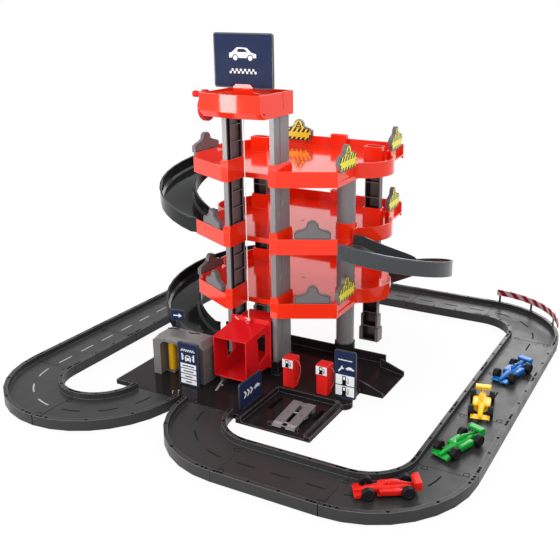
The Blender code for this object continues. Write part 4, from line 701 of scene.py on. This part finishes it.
# the board's own frame, from its vertices: the middle, the level direction along it and the one across it
def boardFrame(name):
    points = meshPoints(name)
    flat = points[:, :2] - points[:, :2].mean(0)
    values, vectors = np.linalg.eigh(flat.T @ flat)
    along = np.array((*vectors[:, 1], 0))
    across = np.array((-along[1], along[0], 0))
    reach = points @ along
    depth = points @ across
    middle = along * (reach.max() + reach.min()) / 2 + across * (depth.max() + depth.min()) / 2
    return middle, along, across, (depth.max() - depth.min()) / 2, points[:, 2].min()


# which way the picture faces: the boards on the right and at the back show it, those in front turn it inwards
clipFaces = {"clip_3_left": (-1, 0), "clip_2_front_left": (0, 1), "clip_1_left": (-1, 0),
             "clip_1_front_left": (0, 1), "clip_2_front_right": (0, 1), "clip_1_front_right": (0, 1),
             "clip_3_right": (1, 0), "clip_1_right": (1, 0), "clip_3_back_right": (1, 0),
             "clip_2_back_right": (1, 0), "clip_3_back": (0, -1)}


def makeClips():
    up = np.array((0, 0, 1.0))
    border, line = clipShape["border"], clipShape["line"]
    for name, look in clipFaces.items():
        middle, along, across, half, bottom = boardFrame(name)
        if across[0] * look[0] + across[1] * look[1] < 0:
            across = -across
        reach = meshPoints(name) @ along
        span = (reach.max() - reach.min()) / 2 / mm
        edge = bottom + clipShape["grip"] * mm
        for tag, out, finish in (("picture", across, "hazard"), ("plain", -across, "clip")):
            right = np.cross(up, out)
            origin = middle + out * half + up * edge
            leaf = finish == "hazard"
            # dark ring around the face: painted shade of the groove at its border
            rim = [slab(hatOutline(span, leaf, border), origin, right, up, -0.3, 0.12)]
            makePiece("%s_%s_line" % (name, tag), rim, "clipLine", slot="clip_plastic")
            face = [slab(hatOutline(span, leaf, border + line), origin, right, up, -0.3, 0.35, 0.2)]
            made = makePiece("%s_%s" % (name, tag), face, finish,
                             slot="hazard_plastic" if leaf else "clip_plastic")
            if leaf:
                layer = made.data.uv_layers.new(name="face")
                places = np.array([v.co for v in made.data.vertices]) - origin
                corners = np.array([loop.vertex_index for loop in made.data.loops])
                uv = np.stack([places @ right, places @ up], 1)[corners] / mm
                layer.data.foreach_set("uv", uv.ravel())
    dress("clip", *clipFaces)
    print("clips: %d" % len(clipFaces))


makeClips()


# string: taut from the drum to the cage, with a knot; a short doubled end rides on the cage
stringLine = {"x": axisX, "y": -0.1309, "top": 0.561, "bottom": 0.1263, "radius": 0.8, "travel": 0.3908,
              "drumY": -0.144, "drum": 12.9, "turns": 7, "turnPitch": 1.7, "firstTurn": -6.0}


def makeString():
    top = np.array((stringLine["x"], stringLine["y"], stringLine["top"]))
    bottom = np.array((stringLine["x"], stringLine["y"], stringLine["bottom"]))
    path = top + (bottom - top) * np.linspace(0, 1, 40)[:, None]
    cord = makePiece("liftString", [tube(path, stringLine["radius"] * mm, 8)], "string", slot="string",
                     replaces=["lift_string"])
    t = np.linspace(0, 2 * np.pi, 60)
    share, sag = np.linspace(0, 1, 12), np.linspace(0, 1, 20)
    knotted = pathFrom(bottom, 0.78 * (np.sin(t) + 2 * np.sin(2 * t)), 0.78 * (np.cos(t) - 2 * np.cos(2 * t)),
                       1.6 - 1.2 * np.sin(3 * t))
    doubled = pathFrom(bottom, 0.3 * np.sin(share * 9), 0.3 * np.cos(share * 9), share * 27)
    tail = pathFrom(bottom, -share * 9, share * 2 - 1.2, 1.5 + 2.5 * np.sin(share * 2.6))
    # free end: it hangs from the plate's corner to the knot in a shallow bow
    free = pathFrom(bottom, -3 - 34 * sag, 1.2 + 3.6 * np.clip(sag * 3, 0, 1),
                    0.8 - 34 * sag * (1 - sag) * (1.2 - 0.4 * sag))
    lines = [(knotted, 0.8), (doubled, 0.9), (tail, 0.75), (free, 0.8)]
    for way in (-4.0, 4.5):
        lines.append((pathFrom(bottom, way * share, -1.2 - 2.4 * share, 1 - 12 * share ** 1.5), 0.75))
    shells = [tube(line, radius * mm, 8) for line, radius in lines]
    knot = makePiece("stringKnot", shells, "string", body="cage", slot="string")
    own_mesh(cord)
    turns = np.linspace(0, 2 * np.pi * stringLine["turns"], 200)
    wound = pathFrom((axisX, stringLine["drumY"], stringLine["top"]),
                     stringLine["firstTurn"] + turns / (2 * np.pi) * stringLine["turnPitch"],
                     stringLine["drum"] * np.cos(turns), stringLine["drum"] * np.sin(turns))
    makePiece("stringTurns", [tube(wound, 0.8 * mm, 6)], "string", body="winch", slot="string")


makeString()


# rollers of the car wash: the foam's radius is radius - shoulder * (1 - full) - depth * (1 - cos(tufts * turn
# + twist * share of the height)) / 2, where full falls to 0 at both ends
rollerShape = {"radius": 10.0, "depth": 0.5, "tufts": 26, "twist": 10.0, "rows": 40, "shoulder": 1.6,
               "y": -0.199, "foot": 3.0, "head": 14.0, "pin": 2.0, "disc": 6.5}
finishes["foam"] = plastic("rollerFoam", (222, 172, 24), rough=0.80, grain=1.0, grainScale=700, cloud=0.12,
                           gloss=0.2)


def makeRollers():
    size = rollerShape
    t = np.linspace(0, 2 * np.pi, size["tufts"] * 4, endpoint=False)
    share = np.linspace(0, 1, size["rows"])[:, None]
    full = np.clip(np.minimum(share, 1 - share) * 18, 0, 1) ** 0.5
    tuft = 1 - np.cos(size["tufts"] * t + size["twist"] * share)
    radius = (size["radius"] - size["shoulder"] * (1 - full) - size["depth"] * tuft / 2) * mm
    for name, body, x in (("wash_roller_left", "roller_left", -0.197),
                          ("wash_roller_right", "roller_right", -0.127)):
        low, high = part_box(name)
        z0, z1 = low.z + size["foot"] * mm, high.z - size["head"] * mm
        z = np.broadcast_to(z0 + (z1 - z0) * share, radius.shape)
        rings = np.stack([x + radius * np.cos(t), size["y"] + radius * np.sin(t), z], -1)
        makePiece(name + "_foam", [loft(rings)], "foam", body=body, slot="roller_foam", replaces=[name])
        pin, disc = size["pin"] * mm, size["disc"] * mm
        profile = [(low.z, pin), (z0, pin), (z0, disc), (z0 + 0.3 * mm, disc), (z1 - 0.3 * mm, disc),
                   (z1 + 1.2 * mm, disc), (z1 + 1.2 * mm, pin), (high.z, pin)]
        makePiece(name + "_pin", [turned(profile, (x, size["y"], 0), zAxis, 20)], "tyre", body=body,
                  slot="roller_foam")
    print("rollers done")


makeRollers()


# fuel pumps: a cabinet, a wider head with its label, and a hose in an arch beside it
pumpBody = {"middle": 13.5, "depth": 15.0, "width": 24.5, "deep": 25.0, "neck": 42.0, "headWidth": 27.0,
            "headDeep": 28.0, "top": 63.5, "label": (24.0, 17.5), "mark": 8.8, "hose": 1.1,
            "arch": ((-2, 58), (3, 59.5), (7.5, 56), (10.5, 48), (10.5, 36), (8, 24), (3.5, 15), (-2.5, 11))}


def makePumps():
    size = pumpBody
    for tag in ("left", "right"):
        name = "fuel_pump_" + tag
        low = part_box(name)[0]
        foot = np.array((low.x + size["middle"] * mm, low.y + size["depth"] * mm, low.z))
        shells = [slab(roundedBox(size["width"], size["deep"], 2), foot, xAxis, yAxis, 0, size["neck"] + 1),
                  slab(roundedBox(size["headWidth"], size["headDeep"], 2.5), foot, xAxis, yAxis, size["neck"],
                       size["top"], 1.6)]
        made = makePiece(name + "_cabinet", shells, "pump", slot="red_plastic", soften=0.6)
        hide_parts(name)
        share = np.linspace(0, len(size["arch"]) - 1, 40)
        across, upright = (np.interp(share, range(len(size["arch"])), row) for row in zip(*size["arch"]))
        line = pathFrom(foot, size["headWidth"] / 2 + across, -4.0, upright)
        makePiece(name + "_hose", [tube(line, size["hose"] * mm, 10)], "hose", slot="red_plastic")
        face = foot + np.array((0, -size["headDeep"] / 2, (size["neck"] + size["top"]) / 2)) * mm
        label = slab(roundedBox(*size["label"], 0.8), face, xAxis, zAxis, -0.6, 0.35)
        makePiece(name + "_label", [label], "white", slot="red_plastic")
        cabinet, hose = pumpPicture(0.0, 0.3, size["mark"])
        shells = [slab(shape, face, xAxis, zAxis, 0.1, 0.55) for shape in cabinet]
        shells.append(hoseLine(hose, face, 1.3, 0.1, 0.55))
        makePiece(name + "_mark", shells, "print", slot="red_plastic")
    print("pumps done")


makePumps()


# small things: slots, ridges, prongs, the lift's lips and holes, the arrow plate behind the wash; slots and
# holes are flat dark plates of painted shade
serviceLift = {"hinge": -294.5, "foot": 8.5, "run": 83.0, "rise": 8.5, "tracks": (101.0, 130.0)}


def makeTrim():
    def flat(outline, z, high):         # low block on a level face, in millimetres
        return slab(outline, (0, 0, z * mm), xAxis, yAxis, -0.2, high)

    # slots and the head's rivet hole: flat dark plates, painted shade where the real ones go in
    slots = [flat(box2(x, x + size, y, y + 4.5), 98, 0.06)
             for x, y, size in ((-217, -189, 13), (-206, -185, 14), (-162, -189, 13), (-151, -185, 14))]
    slots += [flat(box2(-56, -47, 105, 108), z, 0.08) for z in (147, 283, 419)]
    slots.append(flat([(56, -241), (67, -241), (67, -193), (60, -193)], 4, 0.08))
    slots.append(flat(box2(155, 164, -241, -201), 4, 0.08))
    slots.append(post((0.018, -0.1665, 0.5575), 2.2, -0.3, 0.08, xAxis, 16))
    makePiece("slotShadePlates", slots, "slot", slot="base_plastic")
    ridge = slab(box2(-222, -213, 51, 52.4), (0, -0.227, 0), xAxis, zAxis, -0.3, 0.8, 0.3)
    makePiece("washRidge", [ridge], "housing", slot="housing_plastic")

    size = serviceLift
    edges, lips, holes = [], [], []
    slope = math.atan2(size["rise"], size["run"])
    up = np.array((0, math.cos(slope), math.sin(slope)))
    for x in size["tracks"]:
        start = np.array((x, size["hinge"], size["foot"] + 1.5)) * mm
        for a in (0.0, 17.8):       # raised edges along the track
            edges.append(slab(box2(a, a + 1.2, 9, size["run"] - 1), start, xAxis, up, -0.3, 1.0, 0.3))
        lips.append(slab(box2(0.2, 18.8, 0.5, 8.5), start, xAxis, up, -0.3, 0.7, 0.3))
        # the track holes: dark discs, painted shade in place of real holes
        for b in (12, 44):
            holes.append(post(start + (9.5 * mm, 0, 0) + b * mm * up, 1.3, -0.3, 0.12, np.cross(xAxis, up)))
    bridge = np.array((119, size["hinge"], size["foot"] + 1.0)) * mm
    for b in (10, 46):
        lips.append(slab(box2(0, 12, b, b + 3.4), bridge, xAxis, up, -1.0, 0.2, 0.3))
    for name, shells, finish in (("Edges", edges, "lift"), ("Lips", lips, "lip"), ("Holes", holes, "slot")):
        makePiece("service" + name, shells, finish, body="service_lift", slot="clip_plastic")

    prongs = []
    for x, y in ((-133, -288), (-124, -281)):
        hook = [(x, y, 10 - 0.2), (x, y, 16), (x + 1.5, y, 17.5), (x + 3.5, y, 17.5)]
        prongs.append(tube(np.array(hook) * mm, 0.8 * mm, 8))
    for foot, width in (([(-77, -194, 11.2), (-72, -212, 11.2), (-66, -228, 11.2), (-65, -236, 10.6)], 3.4),
                        ([(-72, -213, 11.2), (-64, -211, 11.2)], 3.0)):
        prongs.append(bar(np.array(foot) * mm, width, -1.3, 0.8))
    makePiece("palePieces", prongs, "prong", slot="clip_plastic")

    left, end = np.array((-225.0, -169.5, 0)) * mm, np.array((-188.0, -161.5, 0)) * mm
    right = (end - left) / np.linalg.norm(end - left)
    middle = (left + end) / 2 + np.array((0, 0, 120.5 * mm))
    arrow = [(-9, -1.3), (3, -1.3), (3, -5), (10.5, 0), (3, 5), (3, 1.3), (-9, 1.3)]
    board = [slab(roundedBox(31, 25, 1.2), middle, right, zAxis, -2.0, 0, 0.3),
             slab(box2(-4, 4, -34, -12), middle, right, zAxis, -2.0, -0.6)]
    face = slab(roundedBox(28, 22, 0.8), middle, right, zAxis, -0.3, 0.3, 0.2)
    for name, shells, finish in (("", board, "signEdge"), ("_face", [face], "navy"),
                                 ("_arrow", [slab(arrow, middle, right, zAxis, 0.1, 0.5)], "white")):
        makePiece("arrowBoard" + name, shells, finish, slot="sign_plastic")
    print("trim done")


makeTrim()


# cars, in their own millimetres: x ahead, y to the left, z up from the road
# a wheel's tread and rim: distance in from its outer face, and share of its radius
carSize = {"width": 47.0, "axle": 32.0, "wheel": 10.5, "road": 10.3,
           "tread": ((0.9, 0.56), (0.5, 0.62), (0.1, 0.80), (0.5, 0.95), (1.3, 1.0), (3.6, 1.0),
                     (3.75, 0.965), (4.15, 0.965), (4.3, 1.0), (6.7, 1.0), (6.85, 0.965), (7.25, 0.965),
                     (7.4, 1.0), (9.7, 1.0), (10.5, 0.95), (10.8, 0.8), (10.2, 0.5)),
           "rim": ((2.6, 0.60), (0.8, 0.60), (0.7, 0.50), (1.6, 0.42), (2.0, 0.22), (0.9, 0.18),
                   (0.8, 0.05))}
carPlaces = {"red": (0.3755, -0.4020, 212), "green": (0.4350, -0.2200, 249), "yellow": (0.4280, -0.0600, 283),
             "blue": (0.4445, 0.1080, 254)}


# section of a body at each station (x, half width, low, high), joined by a rounded box of a power:
# y = half * sign(cos) |cos|^(2/power), z = middle + rise * sign(sin) |sin|^(2/power)
def bodyLoft(stations, power=3.0, around=24, shift=0.0):
    stations = np.asarray(stations, float)
    x = np.linspace(stations[0, 0], stations[-1, 0], 60)
    order = np.argsort(stations[:, 0])
    kernel = np.array((1, 2, 3, 2, 1)) / 9
    rows = (np.interp(x, stations[order, 0], stations[order, k]) for k in (1, 2, 3))
    half, low, high = (np.convolve(np.pad(row, 2, mode="edge"), kernel, mode="valid") for row in rows)
    t = np.linspace(0, 2 * np.pi, around, endpoint=False)
    c, s = np.cos(t), np.sin(t)
    y = half[:, None] * np.sign(c) * np.abs(c) ** (2 / power) + shift
    z = (low + high)[:, None] / 2 + (high - low)[:, None] / 2 * np.sign(s) * np.abs(s) ** (2 / power)
    return loft(np.stack([np.broadcast_to(x[:, None], y.shape), y, z], -1))


def carArm(px, pz, qx, qy, qz):         # thin strut from the body's middle to a wheel
    return tube(np.linspace((px, 0, pz), (qx, qy, qz), 4), 0.7, 6)


def carBody():
    shells = [bodyLoft([(53, 3.0, 6.2, 10.0), (44, 4.6, 5.6, 12.2), (24, 6.2, 5.0, 15.2),
                        (8, 8.2, 4.6, 17.2), (0, 8.6, 4.6, 16.6), (-8, 8.6, 4.6, 17.0), (-20, 8.4, 4.8, 17.6),
                        (-34, 8.0, 5.2, 15.5), (-44, 7.2, 6.2, 13.0), (-47, 5.0, 7.0, 12.0)])]
    for hand in (-1, 1):        # side pods, fuller at their mouths
        shells.append(bodyLoft([(14, 3.4, 5.4, 12.6), (10, 5.4, 4.6, 14.6), (-12, 6.2, 4.6, 15.2),
                                (-20, 5.6, 4.8, 14.4), (-25, 3.0, 5.4, 12.6)], power=5.0, shift=hand * 11.4))
    shells.append(bodyLoft([(-1, 2.8, 14, 20.5), (-5, 3.6, 14, 24.2), (-12, 3.4, 14, 23.6),
                            (-26, 2.2, 14, 20.0), (-42, 1.0, 13, 16.6)], power=2.4, around=16))
    shells.append(bodyLoft([(54, 16.8, 4.8, 5.4), (52, 17.0, 4.3, 6.2), (45, 17.0, 4.6, 7.0),
                            (40, 16.6, 6.2, 7.6)], power=8))
    for hand in (-1, 1):        # end plates
        shells.append(plate([(43.5, 3.2), (54.0, 3.2), (54.0, 6.0), (50.0, 8.8), (43.5, 8.8)],
                            (0, hand * 17.0 + 0.5, 0), xAxis, zAxis, 0, 1.0, 0.2))
        shells.append(plate([(-54, 11), (-44.5, 11), (-43, 16), (-44.5, 25), (-54, 25)],
                            (0, hand * 14.2 + 0.7, 0), xAxis, zAxis, 0, 1.4, 0.2))
    for z, x0, x1 in ((23.2, -54, -41.0), (19.6, -52.5, -42.0)):        # rear wing
        shells.append(bodyLoft([(x1, 14.0, z - 1.2, z), (x1 - 3, 14.0, z - 0.4, z + 0.9),
                                (x0, 14.0, z + 0.6, z + 1.4)], power=8))
    shells.append(plate([(-53, 8), (-41, 8), (-43, 22), (-52, 22)], (0, 1.6, 0), xAxis, zAxis, 0, 3.2, 0.3))
    shells.append(plate(roundedBox(52, 30, 3), (-9, 0, 4.0), xAxis, yAxis, 0, 1.4, 0.3))
    for hand in (-1, 1):
        shells += [carArm(px, 11.5, 32, hand * 13.0, 10.6) for px in (28, 36)]
        shells += [carArm(px, 12.0, -32, hand * 13.0, 10.6) for px in (-36, -27)]
    return shells


def carHelmet():
    lat = np.linspace(-np.pi / 2 + 0.05, np.pi / 2 - 0.05, 12)[:, None]
    lon = np.linspace(0, 2 * np.pi, 20, endpoint=False)
    return loft(np.stack(np.broadcast_arrays(3.4 * 1.12 * np.cos(lat) * np.cos(lon) + 2.2,
                                             3.4 * np.cos(lat) * np.sin(lon), 3.4 * np.sin(lat) + 19.0), -1))


def carWheels(px):                      # tyres and hubs of one axle
    out, reach = carSize["width"] / 2, carSize["wheel"]
    parts = {"tread": [], "rim": []}
    for row, steps in (("tread", 36), ("rim", 24)):
        for hand in (-1, 1):
            profile = [(hand * (out - a), r * reach) for a, r in carSize[row]]
            parts[row].append(turned(profile, (px, 0, reach), yAxis, steps))
    parts["rim"].append(turned([(-out + 3, 1.5), (out - 3, 1.5)], (px, 0, reach), yAxis, 12))
    return parts["tread"], parts["rim"]


def makeCar(colour, x, y, heading):
    turn = math.radians(heading)
    ahead = np.array((math.cos(turn), math.sin(turn), 0))
    turning = np.array((ahead, (-ahead[1], ahead[0], 0), (0, 0, 1))) * mm
    origin = np.array((x, y, carSize["road"] * mm))
    body, paint, slot = "%s_car" % colour, "car" + colour.capitalize(), "car_" + colour

    def put(shells):            # from the car's own millimetres to the frame
        return [(origin + np.asarray(points, float) @ turning, faces) for points, faces in shells]
    makePiece(body + "_shell", put(carBody()), paint, body=body, slot=slot, replaces=["car_%s_body" % colour],
              smoothDeg=40)
    cockpit = plate(ringPoints((0, 0), 1.0, steps=24) * (8.6, 5.0), (5.5, 0, 16.1), xAxis, yAxis, 0, 1.1, 0.3)
    makePiece(body + "_cockpit", put([cockpit]), paint, body=body, slot=slot)
    makePiece(body + "_helmet", put([carHelmet()]), paint, body=body, slot=slot)
    for end, px in (("front", carSize["axle"]), ("rear", -carSize["axle"])):
        tyres, hubs = carWheels(px)
        axle = "%s_car_%s_axle" % (colour, end)
        makePiece("%s_%s_tyres" % (body, end), put(tyres), "tyre", body=axle, slot="tyre_plastic",
                  replaces=["car_%s_axle_%s" % (colour, end)], smoothDeg=30)
        makePiece("%s_%s_hubs" % (body, end), put(hubs), "hub", body=axle, slot="tyre_plastic", smoothDeg=30)


for colour, (carX, carY, carHeading) in carPlaces.items():
    makeCar(colour, carX, carY, carHeading)
print("cars: %d" % len(carPlaces))


# light, floor and camera; each lamp: place, side of its square, power
lamps = {"key": ((-1.4, -2.5, 2.2), 1.6, 26), "fill": ((2.4, -1.6, 1.5), 2.0, 16),
         "rear": ((0.2, 2.7, 1.5), 1.8, 42), "above": ((0.2, 0.8, 3.0), 2.0, 16),
         "patch": ((-1.14, -1.85, 0.34), 0.5, 14)}


def seenRays(tree):             # 1 for what the camera sees, also by a mirror or through a surface
    rays = addNode(tree, "ShaderNodeLightPath").outputs
    mirrored = calc(tree, "MAXIMUM", rays["Is Glossy Ray"], rays["Is Transmission Ray"])
    return calc(tree, "MAXIMUM", rays["Is Camera Ray"], mirrored)


def makeStage():
    scene = bpy.context.scene
    cameraData = bpy.data.cameras.new("camera")
    cameraData.lens = cameraView["lens"]
    cameraData.sensor_width = 36
    cameraData.shift_x, cameraData.shift_y = cameraView["shift"]
    cameraData.clip_end = 50
    camera = bpy.data.objects.new("camera", cameraData)
    camera.location = cameraView["place"]
    camera.rotation_euler = cameraView["turn"]
    scene.collection.objects.link(camera)
    scene.camera = camera

    world = bpy.data.worlds.new("studio")
    scene.world = world
    world.use_nodes = True
    tree = world.node_tree
    back = tree.nodes["Background"]
    feed(tree, back.inputs["Strength"], mapRange(tree, seenRays(tree), 0.0, 1.0, 0.80, 1.0))
    back.inputs["Color"].default_value = (1, 1, 1, 1)

    floorMesh = bpy.data.meshes.new("floor")
    reach = 12.0
    corners = [(-reach, -reach, 0), (reach, -reach, 0), (reach, reach, 0), (-reach, reach, 0)]
    floorMesh.from_pydata(corners, [], [(0, 1, 2, 3)])
    floor = bpy.data.objects.new("floor", floorMesh)
    scene.collection.objects.link(floor)
    floor.location.z = -0.0003
    paper = bpy.data.materials.new("floorPaper")
    paper.use_nodes = True
    tree = paper.node_tree
    shader = tree.nodes["Principled BSDF"]
    shader.inputs["Base Color"].default_value = (0.86, 0.86, 0.86, 1)
    shader.inputs["Roughness"].default_value = 0.9
    glow = addNode(tree, "ShaderNodeEmission", Color=(1, 1, 1, 1), Strength=1.0)
    mix = addNode(tree, "ShaderNodeMixShader")
    far = addNode(tree, "ShaderNodeVectorMath", {"operation": "LENGTH"}).outputs["Value"]
    feed(tree, far.node.inputs[0], objectPlace(tree))
    white = mapRange(tree, far, 0.55, 0.95, 0.93, 1.0)
    feed(tree, mix.inputs[0], calc(tree, "MULTIPLY", seenRays(tree), white))
    feed(tree, mix.inputs[1], shader.outputs[0])
    feed(tree, mix.inputs[2], glow.outputs[0])
    feed(tree, tree.nodes["Material Output"].inputs["Surface"], mix.outputs[0])
    floorMesh.materials.append(paper)

    for name, (place, width, power) in lamps.items():
        data = bpy.data.lights.new(name, "AREA")
        data.shape = "SQUARE"
        data.size = width
        data.energy = power
        lamp = bpy.data.objects.new(name, data)
        lamp.location = place
        toward = np.array((0, 0, 0.2)) - np.array(place)
        lamp.rotation_euler = (math.atan2(math.hypot(toward[0], toward[1]), -toward[2]), 0,
                               math.atan2(toward[1], toward[0]) - math.pi / 2)
        scene.collection.objects.link(lamp)
    scene.view_settings.view_transform = "Standard"
    print("stage done")


makeStage()
